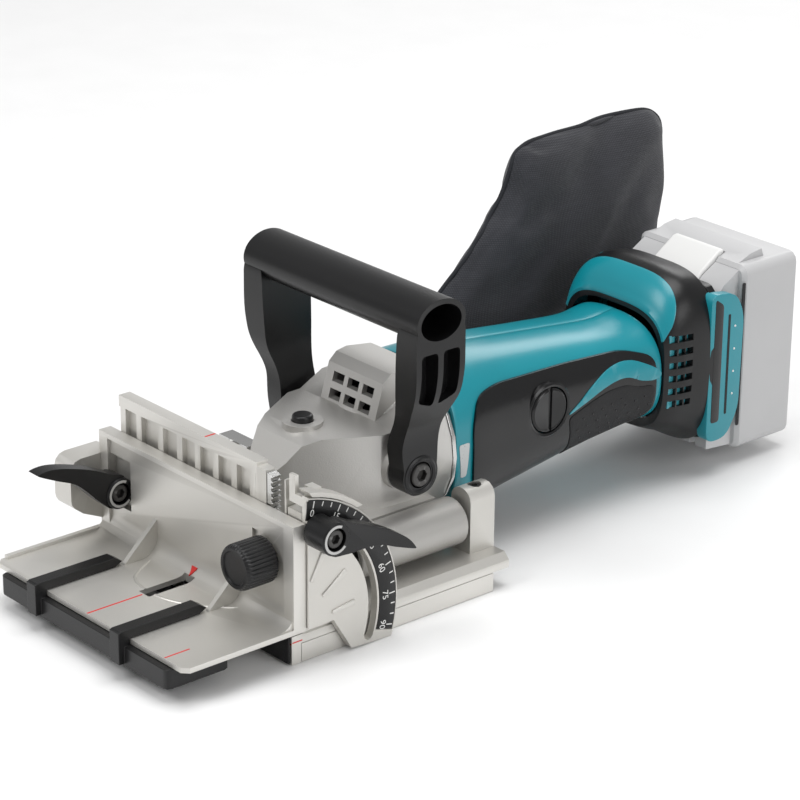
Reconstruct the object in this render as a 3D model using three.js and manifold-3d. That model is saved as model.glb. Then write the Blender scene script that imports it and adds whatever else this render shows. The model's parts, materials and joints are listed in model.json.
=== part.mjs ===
// Cordless biscuit joiner, built as an assembly of separate closed solids.
//
// Units are millimetres. The pieces are drawn with the sole of the base on Z = 0 and its front face on Y = 0.
// The blade plunges towards -Y, the battery is at +Y, and X = 0 is the centre plane. The group is then moved
// so that the origin is the point of the sole right below the blade's axis at rest.

import * as THREE from 'three';
import { mergeVertices } from 'three/addons/utils/BufferGeometryUtils.js';
import Module from 'manifold-3d';

const wasm = await Module();
wasm.setup();

// ---------------------------------------------------------------- driving dimensions

const GAP = 0.3; // clearance between pieces that touch on the real tool
const PLUNGE = 22; // travel of the motor unit on the base

const BASE = {
  half: 68.6, length: 131, top: 16.5, parting: 9.5, chamfer: 3.2,
  frontDepth: 6.8, frontTop: 13.9, slabFront: 7.7, slotHalf: 44, slotLow: 7.6, slotHigh: 12.4,
};
const BLADE = { radius: 50, root: 46, z: 10, body: 2.6, restY: 52, teeth: 8, bore: 10 };
const CHAMBER = { radius: 51.6, low: 6.2, high: 13.6 };
const ROD = { x: 48.5, z: 31.5, radius: 4, front: 15, rear: 121 };
const SLEEVE = { radius: 11.5, front: 49.5, rear: 113.4, springRadius: 8.6, springDepth: 19 };
const POST = { inner: 44.5, outer: 58, front: 116, rear: 132, top: 48, round: 6 };
const ROD_BLOCK = { inner: 42, outer: 56, front: 14.2, rear: 25.5, top: 41 };

const HINGE = { y: -3.5, z: 19.7 }; // tilt axis of the angle guide, along X
const FENCE = {
  half: 72, flangeLow: 16.5, flangeHigh: 19, flangeFront: -60, wallTop: 68.4, wallBack: 6.8, wallFace: 1.6,
};
const GUIDE = {
  left: -65.3, right: 37.8, front: 7.1, back: 13.5, top: 86, low: 18, webBack: 9.1, stripTop: 88.5,
};
const QUADRANT = {
  inner: 69.3, outer: 73.4, radius: 61.9, slotHalf: 2.6, bottom: 0.9,
  bandInner: 51.6, bandOuter: 61, bandDepth: 0.8,
};
const LOCK = { y: 11.3, z: 65, screwRadius: 2.2, hubRadius: 7.6, hubStart: 74.2, hubEnd: 88 };
const HEIGHT_LOCK = { y: -3, z: 43.5, hubRadius: 7.6, hubStart: -65.2, hubEnd: -51 };
const PINION = { x: 52, z: 47, teeth: 10, module: 0.8, front: 8, back: 11.6 };
const RACK = {
  pitchX: PINION.x - PINION.teeth * PINION.module / 2, rear: 44.5, teeth: 17,
  low: PINION.z - 2.5 * Math.PI * PINION.module, front: 7.5, back: 12.2,
};
const KNOB = { radius: 10.8, front: -17.6, back: -0.6, flutes: 16 };
const TURRET = { x: -57.5, z: 52, radius: 10.5, front: 20, rear: 29 }; // depth stop

const AXIS_Z = 57; // height of the motor axis
const HOUSING = { front: 124.3, rear: 262 };
const BRUSH_CAP = { y: 184.8, z: 64, radius: 11.2 };
const BEVEL = { gearTeeth: 16, pinionTeeth: 5, gearRadius: 13, pinionRadius: 4.2 };
const HANDLE = {
  y: 93, z: 138, half: 62, barDepth: 14.4, barHeight: 11, bossZ: 60, bossIn: 38.4, bossOut: 49,
};
const MOUNT_FACE = 297; // rear face that the battery slides along
const BATTERY = {
  half: 37.4, rear: 354, low: 8, top: 106, neckHalf: 33, neckRear: 318, neckTop: 98, shoulder: 106,
};

// ---------------------------------------------------------------- colours

const finish = (color, roughness, metalness) => ({ color, roughness, metalness });
const CAST = finish(0xd2d0cb, 0.42, 0.85);
const GEAR_CAST = finish(0xc4c1bb, 0.38, 0.85);
const STEEL = finish(0xa9abae, 0.3, 1.0);
const DARK_STEEL = finish(0x35312f, 0.4, 0.9);
const BLACK = finish(0x1b1c1e, 0.5, 0.0);
const RUBBER = finish(0x2a2b2e, 0.8, 0.0);
const TEAL = finish(0x008a96, 0.35, 0.0);
const FABRIC = finish(0x34353a, 0.95, 0.0);
const GREY = finish(0xb9b9bb, 0.5, 0.0);
const WHITE = finish(0xe6e6e4, 0.5, 0.0);
const COPPER = finish(0xb46a3c, 0.4, 1.0);

// ---------------------------------------------------------------- solids

const RAD = Math.PI / 180;

/** Manifold solid from a closed three.js geometry. */
function solid(geometry) {
  const bare = geometry.index ? geometry.toNonIndexed() : geometry.clone();
  bare.deleteAttribute('normal');
  bare.deleteAttribute('uv');
  const merged = mergeVertices(bare, 1e-4);
  return new wasm.Manifold(new wasm.Mesh({
    numProp: 3,
    vertProperties: new Float32Array(merged.attributes.position.array),
    triVerts: new Uint32Array(merged.index.array),
  }));
}

/** three.js geometry from a manifold solid. */
function toGeometry(body) {
  const { vertProperties, triVerts } = body.getMesh();
  const geometry = new THREE.BufferGeometry();
  geometry.setAttribute('position', new THREE.BufferAttribute(new Float32Array(vertProperties), 3));
  geometry.setIndex(new THREE.BufferAttribute(new Uint32Array(triVerts), 1));
  return geometry;
}

const join = (...bodies) => bodies.reduce((sum, next) => sum.add(next));
const cut = (body, ...tools) => tools.reduce((rest, tool) => rest.subtract(tool), body);

/** Axis-aligned block between two corners. */
function block(x0, x1, y0, y1, z0, z1) {
  const geometry = new THREE.BoxGeometry(x1 - x0, y1 - y0, z1 - z0);
  geometry.translate((x0 + x1) / 2, (y0 + y1) / 2, (z0 + z1) / 2);
  return solid(geometry);
}

/** Matrix that sends a shape's plane and its extrusion direction to the named axis. */
function alongAxis(axis) {
  const matrix = new THREE.Matrix4();
  if (axis === 'x') matrix.set(0, 0, 1, 0, 1, 0, 0, 0, 0, 1, 0, 0, 0, 0, 0, 1);
  if (axis === 'y') matrix.set(0, 1, 0, 0, 0, 0, 1, 0, 1, 0, 0, 0, 0, 0, 0, 1);
  return matrix;
}

/**
 * Outline extruded from one station to another along an axis. Points are [y, z] along x, [x, z] along y and
 * [x, y] along z. The edges can be bevelled, by inset across the outline and by bevel along the axis.
 */
function extrude(axis, points, from, to, bevel = 0, inset = bevel) {
  const flat = axis === 'y' ? points.map(([x, z]) => [z, x]) : points;
  const shape = new THREE.Shape(flat.map(([a, b]) => new THREE.Vector2(a, b)));
  const geometry = new THREE.ExtrudeGeometry(shape, {
    depth: to - from - 2 * bevel, bevelEnabled: bevel > 0, bevelThickness: bevel, bevelSize: inset,
    bevelOffset: -inset, bevelSegments: 1,
  });
  geometry.translate(0, 0, from + bevel);
  geometry.applyMatrix4(alongAxis(axis));
  return solid(geometry);
}

/** Cylinder along an axis; the centre is given by the two other coordinates in X, Y, Z order. */
function rod(axis, radius, from, to, a, b, sides = 20) {
  const geometry = new THREE.CylinderGeometry(radius, radius, to - from, sides);
  const middle = (from + to) / 2;
  if (axis === 'x') geometry.rotateZ(-Math.PI / 2).translate(middle, a, b);
  if (axis === 'y') geometry.translate(a, middle, b);
  if (axis === 'z') geometry.rotateX(Math.PI / 2).translate(a, b, middle);
  return solid(geometry);
}

/** Solid of revolution about an axis through (a, b); the profile is [radius, station] from axis to axis. */
function turned(axis, profile, a, b, sides = 24) {
  const geometry = new THREE.LatheGeometry(profile.map(([r, s]) => new THREE.Vector2(r, s)), sides);
  if (axis === 'x') geometry.rotateZ(-Math.PI / 2).translate(0, a, b);
  if (axis === 'y') geometry.translate(a, 0, b);
  if (axis === 'z') geometry.rotateX(Math.PI / 2).translate(a, b, 0);
  return solid(geometry);
}

/** Points on an arc, angles in degrees. */
function arc(ca, cb, radius, start, end, steps) {
  return Array.from({ length: steps + 1 }, (_, i) => {
    const angle = (start + (end - start) * i / steps) * RAD;
    return [ca + radius * Math.cos(angle), cb + radius * Math.sin(angle)];
  });
}

/** Rectangle with round corners. */
function roundRect(a0, a1, b0, b1, radius, steps = 3) {
  return [
    ...arc(a1 - radius, b0 + radius, radius, -90, 0, steps),
    ...arc(a1 - radius, b1 - radius, radius, 0, 90, steps),
    ...arc(a0 + radius, b1 - radius, radius, 90, 180, steps),
    ...arc(a0 + radius, b0 + radius, radius, 180, 270, steps),
  ];
}

/**
 * Body through superellipse sections along Y. Each section is {y, half, low, high}, its half width and its
 * lowest
 * and highest point; grow moves the skin outwards.
 */
function loft(sections, grow = 0, sides = 32, power = 2.6) {
  const positions = [];
  const index = [];
  for (const { y, half, low, high } of sections) {
    const middle = (low + high) / 2;
    for (let i = 0; i < sides; i++) {
      const angle = 2 * Math.PI * i / sides;
      const [c, s] = [Math.cos(angle), Math.sin(angle)];
      const x = Math.sign(c) * Math.abs(c) ** (2 / power) * (half + grow);
      const z = middle + Math.sign(s) * Math.abs(s) ** (2 / power) * ((high - low) / 2 + grow);
      positions.push(x, y, z);
    }
  }
  const last = (sections.length - 1) * sides;
  for (let row = 0; row < last; row += sides) {
    for (let i = 0; i < sides; i++) {
      const j = (i + 1) % sides;
      index.push(row + i, row + sides + i, row + j, row + j, row + sides + i, row + sides + j);
    }
  }
  for (let i = 1; i < sides - 1; i++) {
    index.push(0, i, i + 1, last, last + i + 1, last + i);
  }
  const geometry = new THREE.BufferGeometry();
  geometry.setAttribute('position', new THREE.Float32BufferAttribute(positions, 3));
  geometry.setIndex(index);
  return solid(geometry);
}

/** Everything on one side of a plane across X. */
const rightOf = (x) => block(x, 400, -400, 600, -400, 400);
const leftOf = (x) => block(-400, x, -400, 600, -400, 400);
const mirrored = (body) => body.mirror([1, 0, 0]);

// ---------------------------------------------------------------- assembly

const joiner = new THREE.Group();
joiner.position.y = -BLADE.restY;
joiner.name = 'biscuit_joiner';

/** Adds one named piece. */
function piece(name, body, look) {
  const mesh = new THREE.Mesh(toGeometry(body), new THREE.MeshStandardMaterial({ name, ...look }));
  mesh.name = name;
  joiner.add(mesh);
}

// ---------------------------------------------------------------- base

/** Plan of the blade's room, which covers the blade over its whole plunge. */
const CHAMBER_PLAN = [
  [-CHAMBER.radius, 5], [CHAMBER.radius, 5], ...arc(0, BLADE.restY, CHAMBER.radius, 0, 180, 14),
];

function baseCasting() {
  const { half, length, top, parting, chamfer } = BASE;
  const section = [
    [-half, parting], [half, parting], [half, top - chamfer], [half - chamfer, top],
    [chamfer - half, top], [-half, top - chamfer],
  ];
  const slab = extrude('y', section, BASE.slabFront, length);
  const frontWall = block(-half, half, 1.5, BASE.slabFront + 0.5, 0, BASE.frontTop)
    .subtract(block(-half - 1, half + 1, BASE.frontDepth, 9, -1, parting));
  const post = extrude('y', [
    [POST.inner, top - 2], [POST.outer, top - 2],
    ...arc(POST.outer - POST.round, POST.top - POST.round, POST.round, 0, 90, 4),
    ...arc(POST.inner + POST.round, POST.top - POST.round, POST.round, 90, 180, 4),
  ], POST.front, POST.rear - 1);
  const rodBlock = block(
    ROD_BLOCK.inner, ROD_BLOCK.outer, ROD_BLOCK.front, ROD_BLOCK.rear, top - 2, ROD_BLOCK.top,
  );
  const lockBracket = extrude('x', [
    [9.5, top - 2], [26, top - 2], [20.7, 60], ...arc(LOCK.y + 3, LOCK.z + 1, 6, 0, 90, 4), [7.4, LOCK.z + 7],
    [7.4, LOCK.z - 7.6], [9.5, LOCK.z - 7.6],
  ], 59, half);
  const turretBracket = extrude('y', [
    [-half, top - 2], [-46, top - 2], [-46, TURRET.z], ...arc(TURRET.x, TURRET.z, 8, 0, 180, 8), [-half, 30],
  ], ROD_BLOCK.front, TURRET.front - GAP);
  const rearHinge = block(-20, 20, 122, length, 4, parting + 1);
  const body = join(
    slab, frontWall, post, mirrored(post), rodBlock, mirrored(rodBlock), lockBracket, turretBracket,
    rearHinge,
  );
  const spindleSlot = [
    ...arc(0, BLADE.restY + 1, 17.5, 0, 180, 6), ...arc(0, BLADE.restY - PLUNGE - 1, 17.5, 180, 360, 6),
  ];
  return cut(
    body,
    extrude('z', CHAMBER_PLAN, BASE.parting - 1, CHAMBER.high),
    extrude('z', spindleSlot, CHAMBER.high - 1, top + 1),
    block(-BASE.slotHalf, BASE.slotHalf, 0, 8, BASE.slotLow, BASE.slotHigh),
    block(-half - 1, -40, 84, 112, BASE.parting - 1, CHAMBER.high),
    rod('y', ROD.radius + GAP, ROD.front, ROD.rear + GAP, ROD.x, ROD.z, 16),
    rod('y', ROD.radius + GAP, ROD.front, ROD.rear + GAP, -ROD.x, ROD.z, 16),
    rod('x', LOCK.screwRadius + GAP, 58, 70, LOCK.y, LOCK.z, 12),
    rod('z', 3.4, 44, 50, (POST.inner + POST.outer) / 2, 124, 12),
    rod('z', 3.4, 44, 50, -(POST.inner + POST.outer) / 2, 124, 12),
    block(-14.3, 14.3, 118, 132, 3, parting + 0.2),
    rod('x', 1.6 + GAP, -19, 19, 127, 6, 12),
    rod('y', 3 + GAP, ROD_BLOCK.front - 1, TURRET.front, TURRET.x, TURRET.z, 12),
  );
}

function frontPad() {
  return cut(
    block(-BASE.half + 0.6, BASE.half - 0.6, 0, 1.2, 0.8, BASE.frontTop - 0.4),
    block(-BASE.slotHalf, BASE.slotHalf, -1, 3, BASE.slotLow, BASE.slotHigh),
  );
}

function bladeCover() {
  const { half, parting } = BASE;
  const plate = block(-half, half, BASE.frontDepth + GAP, 121.5, 0, parting - GAP);
  const knuckle = join(
    block(-14, 14, 121, 127, 3.2, 8.8),
    rod('x', 2.8, -14, 14, 127, 6, 14),
  );
  return cut(
    join(plate, knuckle),
    extrude('z', CHAMBER_PLAN, CHAMBER.low, parting + 1),
    block(-half - 1, -40, 84, 112, CHAMBER.low, parting + 1),
    rod('x', 1.6 + GAP, -20, 20, 127, 6, 12),
    rod('z', 4.6, -1, 4, 58, 24, 16),
  );
}

function returnSpring(side) {
  const coilRadius = 7;
  const turns = 8;
  const stepsPerTurn = 8;
  const [start, end] = [ROD_BLOCK.rear + 1, SLEEVE.front + SLEEVE.springDepth - 1.2];
  const points = Array.from({ length: turns * stepsPerTurn + 1 }, (_, i) => {
    const t = i / (turns * stepsPerTurn);
    const angle = 2 * Math.PI * turns * t;
    return new THREE.Vector3(
      side * ROD.x + coilRadius * Math.cos(angle),
      start + (end - start) * t,
      ROD.z + coilRadius * Math.sin(angle),
    );
  });
  const wire = new THREE.Shape(arc(0, 0, 0.85, 0, 270, 3).map(([a, b]) => new THREE.Vector2(a, b)));
  return solid(new THREE.ExtrudeGeometry(wire, {
    steps: turns * stepsPerTurn, extrudePath: new THREE.CatmullRomCurve3(points), bevelEnabled: false,
  }));
}

/** Lip over the rim of the angle scale, on a stem that stands on the lock bracket. */
function scalePointer() {
  const rise = QUADRANT.radius + 0.5;
  const lip = extrude('x', [
    ...arc(HINGE.y, HINGE.z, rise + 2.2, 50, 80, 5), ...arc(HINGE.y, HINGE.z, rise, 78, 52, 5),
  ], 66, QUADRANT.outer);
  const stem = block(61, 67.4, 15, 19.6, LOCK.z + 7.4, 81);
  return join(lip, stem);
}

function buildBase() {
  piece('base_casting', baseCasting(), CAST);
  piece('front_pad', frontPad(), RUBBER);
  for (const [side, name] of [[1, 'right'], [-1, 'left']]) {
    const guideRod = rod('y', ROD.radius, ROD.front + GAP, ROD.rear, side * ROD.x, ROD.z, 16);
    piece(`guide_rod_${name}`, guideRod, STEEL);
    piece(`return_spring_${name}`, returnSpring(side), STEEL);
  }
  piece('blade_cover', bladeCover(), CAST);
  piece('cover_screw', rod('z', 4.2, 0.4, 3.7, 58, 24, 16), DARK_STEEL);
  piece('cover_hinge_pin', rod('x', 1.6, -18.6, 18.6, 127, 6, 10), STEEL);
  piece('scale_pointer', scalePointer(), CAST);
  const screw = join(
    rod('x', LOCK.screwRadius, 59.3, LOCK.hubEnd - 5, LOCK.y, LOCK.z, 12),
    rod('x', 4.6, LOCK.hubEnd - 5, LOCK.hubEnd - 0.6, LOCK.y, LOCK.z, 16),
  );
  const socket = rod('x', 2.4, LOCK.hubEnd - 3.6, LOCK.hubEnd, LOCK.y, LOCK.z, 6);
  piece('angle_lock_screw', cut(screw, socket), DARK_STEEL);
}

// ---------------------------------------------------------------- dust nozzle and bag

const NOZZLE_ROUTE = [[-70, 98, 12.6], [-80, 104, 14], [-84, 124, 18], [-80, 148, 28], [-77, 166, 42]];
const BAG = { x: -74, half: 10, swell: 9, inset: 9 };

function tubeAlong(route, radius, sides, steps) {
  const curve = new THREE.CatmullRomCurve3(route.map((p) => new THREE.Vector3(...p)));
  const outline = arc(0, 0, radius, 0, 360 - 360 / sides, sides - 1);
  const ring = new THREE.Shape(outline.map(([a, b]) => new THREE.Vector2(a, b)));
  return solid(new THREE.ExtrudeGeometry(ring, { steps, extrudePath: curve, bevelEnabled: false }));
}

function dustNozzle() {
  const flange = block(-72.4, -BASE.half - GAP, 82, 114, 2, 15.5);
  const outer = tubeAlong(NOZZLE_ROUTE, 14, 12, 7);
  const clipped = outer.subtract(rightOf(-72)).subtract(block(-200, 0, 0, 300, -50, 0.8));
  const inner = tubeAlong([[-62, 97, 10], ...NOZZLE_ROUTE, [-75.5, 172, 48]], 11.4, 10, 8);
  return cut(join(flange, clipped), inner.subtract(block(-200, 0, 0, 300, -50, 3)));
}

function bagOutline() {
  return [
    [168.5, 47], [200, 75], [220, 93], [247, 124], ...arc(272, 137, 16, 140, 90, 3),
    ...arc(346, 134, 20, 90, 15, 4),
    [366, 116], [364, 92], ...arc(347, 78, 17, -20, -70, 2), [300, 47], [240, 35], [192, 29],
  ];
}

function buildDust() {
  piece('dust_nozzle', dustNozzle(), BLACK);
  const end = NOZZLE_ROUTE.at(-1);
  const curve = new THREE.CatmullRomCurve3(NOZZLE_ROUTE.map((p) => new THREE.Vector3(...p)));
  const out = curve.getTangent(1);
  const collar = new THREE.LatheGeometry(
    [[14.8, -9], [17.4, -9], [17.4, 0], [14.8, 0], [14.8, -9]].map(([r, s]) => new THREE.Vector2(r, s)), 16,
  );
  collar.applyQuaternion(new THREE.Quaternion().setFromUnitVectors(new THREE.Vector3(0, 1, 0), out));
  collar.translate(...end);
  piece('bag_collar', solid(collar), BLACK);
  const { x, half, swell, inset } = BAG;
  const sack = extrude('x', bagOutline(), x - half, x + half, swell, inset);
  const neckSpace = new THREE.CylinderGeometry(19, 19, 60, 16);
  neckSpace.applyQuaternion(new THREE.Quaternion().setFromUnitVectors(new THREE.Vector3(0, 1, 0), out));
  neckSpace.translate(...end);
  neckSpace.translate(...out.clone().multiplyScalar(-29.6).toArray());
  piece('dust_bag', sack.subtract(solid(neckSpace)), FABRIC);
}

// ---------------------------------------------------------------- angle guide, fence and their locks

/** Closed arc slot about the tilt axis, as an outline in Y and Z. */
function arcSlot(radius, half, start, end, steps) {
  const at = (deg) => [HINGE.y + radius * Math.cos(deg * RAD), HINGE.z + radius * Math.sin(deg * RAD)];
  return [
    ...arc(HINGE.y, HINGE.z, radius + half, end, start, steps),
    ...arc(...at(start), half, start, start + 180, 4).slice(1, -1),
    ...arc(HINGE.y, HINGE.z, radius - half, start, end, steps),
    ...arc(...at(end), half, end + 180, end + 360, 4).slice(1, -1),
  ];
}

/** Turns the pinion so that its teeth meet gaps of the rack at rest. */
const PINION_PHASE = 18;

const lockAngle = Math.atan2(LOCK.z - HINGE.z, LOCK.y - HINGE.y) / RAD;
const lockRadius = Math.hypot(LOCK.z - HINGE.z, LOCK.y - HINGE.y);

function guidePlate() {
  const { left, right, front, back, top, low, webBack, stripTop } = GUIDE;
  const ribs = [0.03, 0.15, 0.31, 0.45, 0.58, 0.71, 0.84, 0.97]
    .map((part) => left + part * (right - left))
    .map((x) => block(x - 2, x + 2, front, front + 3, 62, top - 4.5));
  const plate = join(
    block(left, right, front + 2.4, back, low, top),
    block(left, right, front, back, top - 5.5, top),
    block(left, right, front, back, low, 63),
    ...ribs,
  );
  const channelTop = RACK.low + RACK.teeth * Math.PI * PINION.module + 1;
  const web = join(
    block(right - 1, QUADRANT.inner + 1, front, webBack, low, 80),
    block(right - 1, 58.4, front, RACK.back + GAP, low, channelTop),
    block(60.5, 64.5, front, webBack, 60, stripTop),
  );
  const quadrantOutline = [
    [front, low], [21.5, low], [32, QUADRANT.bottom],
    ...arc(HINGE.y, HINGE.z, QUADRANT.radius, -18.8, 79.6, 20), [front, 81],
  ];
  const quadrant = extrude('x', quadrantOutline, QUADRANT.inner, QUADRANT.outer);
  return cut(
    join(plate, web, quadrant),
    extrude('x', arcSlot(lockRadius, QUADRANT.slotHalf, lockAngle + 0.5, lockAngle - 90.5, 18), 68.9, 75),
    extrude('x', arcBand(QUADRANT.bandInner - GAP, QUADRANT.bandOuter + GAP, 0.4),
      QUADRANT.outer - QUADRANT.bandDepth - GAP, 75),
    block(RACK.rear - GAP, 57.2, front - 1, RACK.back + 1, RACK.low - GAP, channelTop + 5),
    block(58.4, QUADRANT.inner, front - 1, back, 52.5, 75.6),
    block(58, 60.5, front - 1, back, 75, 90),
  );
}

/** Arc-shaped band about the tilt axis; margin lengthens it at both ends, in degrees. */
function arcBand(inner, outer, margin = 0) {
  return [
    ...arc(HINGE.y, HINGE.z, outer, -15.5 - margin, 79.5 + margin, 19),
    ...arc(HINGE.y, HINGE.z, inner, 79.5 + margin, -15.5 - margin, 19),
  ];
}

/** Straight rack whose teeth face +X. */
function rackBar() {
  const pitch = Math.PI * PINION.module;
  const points = [[RACK.rear, RACK.low], [RACK.rear, RACK.low + pitch * RACK.teeth]];
  for (let i = RACK.teeth - 1; i >= 0; i--) {
    const z = RACK.low + pitch * (i + 0.5);
    points.push([RACK.pitchX - 0.9, z + 0.6], [RACK.pitchX + 0.5, z + 0.25]);
    points.push([RACK.pitchX + 0.5, z - 0.25], [RACK.pitchX - 0.9, z - 0.6]);
  }
  return extrude('y', points, RACK.front, RACK.back);
}

function fencePlate() {
  const { half, flangeLow, flangeHigh, flangeFront, wallTop, wallBack, wallFace } = FENCE;
  const wall = block(-half, half, wallFace, wallBack, flangeLow, wallTop);
  const rimLeft = block(-half, HEIGHT_LOCK.hubStart - GAP, 0, wallBack, flangeLow, wallTop);
  const rimRight = block(half - 7, half, 0, wallBack, flangeLow, wallTop);
  const rimTop = block(-half, half, 0, wallBack, wallTop - 2.4, wallTop);
  const flange = extrude('z', [
    [-half, wallBack], [-half, flangeFront + 3], [3 - half, flangeFront], [half - 3, flangeFront],
    [half, flangeFront + 3], [half, wallBack],
  ], flangeLow, flangeHigh);
  const lipLeft = block(-half, -half + 2.6, flangeFront + 5, 1, flangeLow, flangeHigh + 1.6);
  const fillet = extrude('x', [
    [wallFace + 0.5, flangeHigh - 0.5], [wallFace + 0.5, flangeHigh + 9],
    ...arc(wallFace - 9, flangeHigh + 9, 9, 0, -90, 5), [wallFace - 9, flangeHigh - 0.5],
  ], -half + 1, half - 1);
  const gusset = [
    [wallFace + 1, flangeHigh - 1], [wallFace + 1, 37.5], [-17.5, flangeHigh], [-17.5, flangeHigh - 1],
  ];
  const lug = extrude('x', [
    [wallBack, 57], [wallBack, 24], [0, 24], [-11, 29], ...arc(-11.5, 37, 6, 225, 180, 2), [-17.5, 51],
    ...arc(-11.5, 51, 6, 180, 90, 3),
  ], -84, -half + 1);
  const sightSlot = block(-3.8, 3.8, -28.5, -2.5, flangeLow - 1, flangeHigh + 12);
  return cut(
    join(
      wall, rimLeft, rimRight, rimTop, flange, lipLeft, fillet, lug,
      extrude('x', gusset, -32.4, -30), extrude('x', gusset, 31, 33.4),
    ),
    sightSlot,
    rod('y', 3.3, -3, 8, PINION.x, PINION.z, 14),
    rod('x', LOCK.screwRadius + GAP, -82, 1 - half, HEIGHT_LOCK.y, HEIGHT_LOCK.z, 12),
    block(
      HEIGHT_LOCK.hubStart - GAP, HEIGHT_LOCK.hubEnd + 1,
      -1, HEIGHT_LOCK.y + HEIGHT_LOCK.hubRadius + GAP, 33.5, 58.5,
    ),
    block(PINION.x - 11, PINION.x - 5.4, 0.6, 3.2, 53, 57.5),
  );
}

function setPlate() {
  const { flangeLow, flangeHigh, flangeFront } = FENCE;
  const plateTop = flangeLow - GAP;
  const plate = extrude('z', roundRect(-63.6, 63.6, -63.5, -29, 3, 2), 6.8, plateTop);
  const arms = [-34, 29.5].map((x) => join(
    block(x - 3.4, x + 3.4, -66.5, flangeFront - GAP, 8, flangeHigh + 4.4),
    extrude('x', [
      [-66.5, flangeHigh + GAP], [-22, flangeHigh + GAP], [-18, flangeHigh + 2.2], [-22, flangeHigh + 4.8],
      [-65.3, flangeHigh + 4.8], [-66.5, flangeHigh + 3.6],
    ], x - 3.4, x + 3.4),
  ));
  return cut(join(plate, ...arms), block(-58, 58, -57.5, -33, 9.8, plateTop + 1));
}

function pinionKnob() {
  const grip = Array.from({ length: KNOB.flutes * 2 }, (_, i) => {
    const radius = i % 2 ? KNOB.radius : KNOB.radius - 0.7;
    return arc(PINION.x, PINION.z, radius, i * 180 / KNOB.flutes, i * 180 / KNOB.flutes, 1)[0];
  });
  const pitchRadius = PINION.teeth * PINION.module / 2;
  const teeth = [];
  for (let i = 0; i < PINION.teeth; i++) {
    const middle = PINION_PHASE + i * 360 / PINION.teeth;
    for (const [radius, offset] of [[-0.9, -8], [0.5, -2.8], [0.5, 2.8], [-0.9, 8]]) {
      teeth.push(arc(PINION.x, PINION.z, pitchRadius + radius, middle + offset, middle + offset, 1)[0]);
    }
  }
  return cut(
    join(
      extrude('y', grip, KNOB.front, KNOB.back),
      rod('y', 2.6, KNOB.back - 1, PINION.back, PINION.x, PINION.z, 14),
      extrude('y', teeth, PINION.front, PINION.back),
    ),
    rod('y', 7.4, KNOB.front - 1, KNOB.front + 1.6, PINION.x, PINION.z, 16),
  );
}

/**
 * Lock lever about an X axis: a hub with a curved blade. Direction is 1 when the blade runs back and -1 when it
 * runs forward, and rise is the angle of its tip above level, in degrees.
 */
function lockLever({ y, z, hubRadius, hubStart, hubEnd }, direction, rise) {
  const blade = [
    [0, 8.4], [10, 8.3], [22, 7.8], [36, 5.5], [44, 3.2], [50, -0.3], [48.5, -1.3], [38, -1.2], [27, -0.8],
    [18, -3.5], [9, -7], [0, -hubRadius],
  ];
  const outline = blade.map(([along, up]) => [
    y + direction * (along * Math.cos(rise * RAD) - up * Math.sin(rise * RAD)),
    z + along * Math.sin(rise * RAD) + up * Math.cos(rise * RAD),
  ]);
  return cut(
    join(
      rod('x', hubRadius, hubStart, hubEnd, y, z, 20),
      extrude('x', outline, hubEnd - 8.5, hubEnd - 1.2),
    ),
    rod('x', LOCK.screwRadius + GAP, hubStart - 1, hubEnd + 1, y, z, 12),
    rod('x', 4.6 + GAP, hubEnd - 5.3, hubEnd + 1, y, z, 16),
  );
}

function buildFence() {
  piece('guide_plate', guidePlate(), CAST);
  piece('scale_band', extrude('x', arcBand(QUADRANT.bandInner + GAP, QUADRANT.bandOuter - GAP),
    QUADRANT.outer - QUADRANT.bandDepth, QUADRANT.outer), BLACK);
  piece('height_rack', rackBar(), STEEL);
  piece('fence_plate', fencePlate(), CAST);
  piece('set_plate', setPlate(), BLACK);
  piece('height_knob', pinionKnob(), BLACK);
  piece('angle_lever', lockLever(LOCK, 1, -20), BLACK);
  piece('height_lever', lockLever(HEIGHT_LOCK, -1, 26), BLACK);
  const { y, z, hubEnd } = HEIGHT_LOCK;
  const screw = join(
    rod('x', LOCK.screwRadius, -80, hubEnd - 5, y, z, 12),
    rod('x', 4.6, hubEnd - 5, hubEnd - 0.6, y, z, 16),
  );
  piece('height_lock_screw', cut(screw, rod('x', 2.4, hubEnd - 3.6, hubEnd, y, z, 6)), DARK_STEEL);
}

// ---------------------------------------------------------------- gear housing and motor

const RING = [{ y: 96, r: 31 }, { y: 108, r: 36.5 }, { y: 119, r: 39 }, { y: 121.4, r: 39 }];

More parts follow.
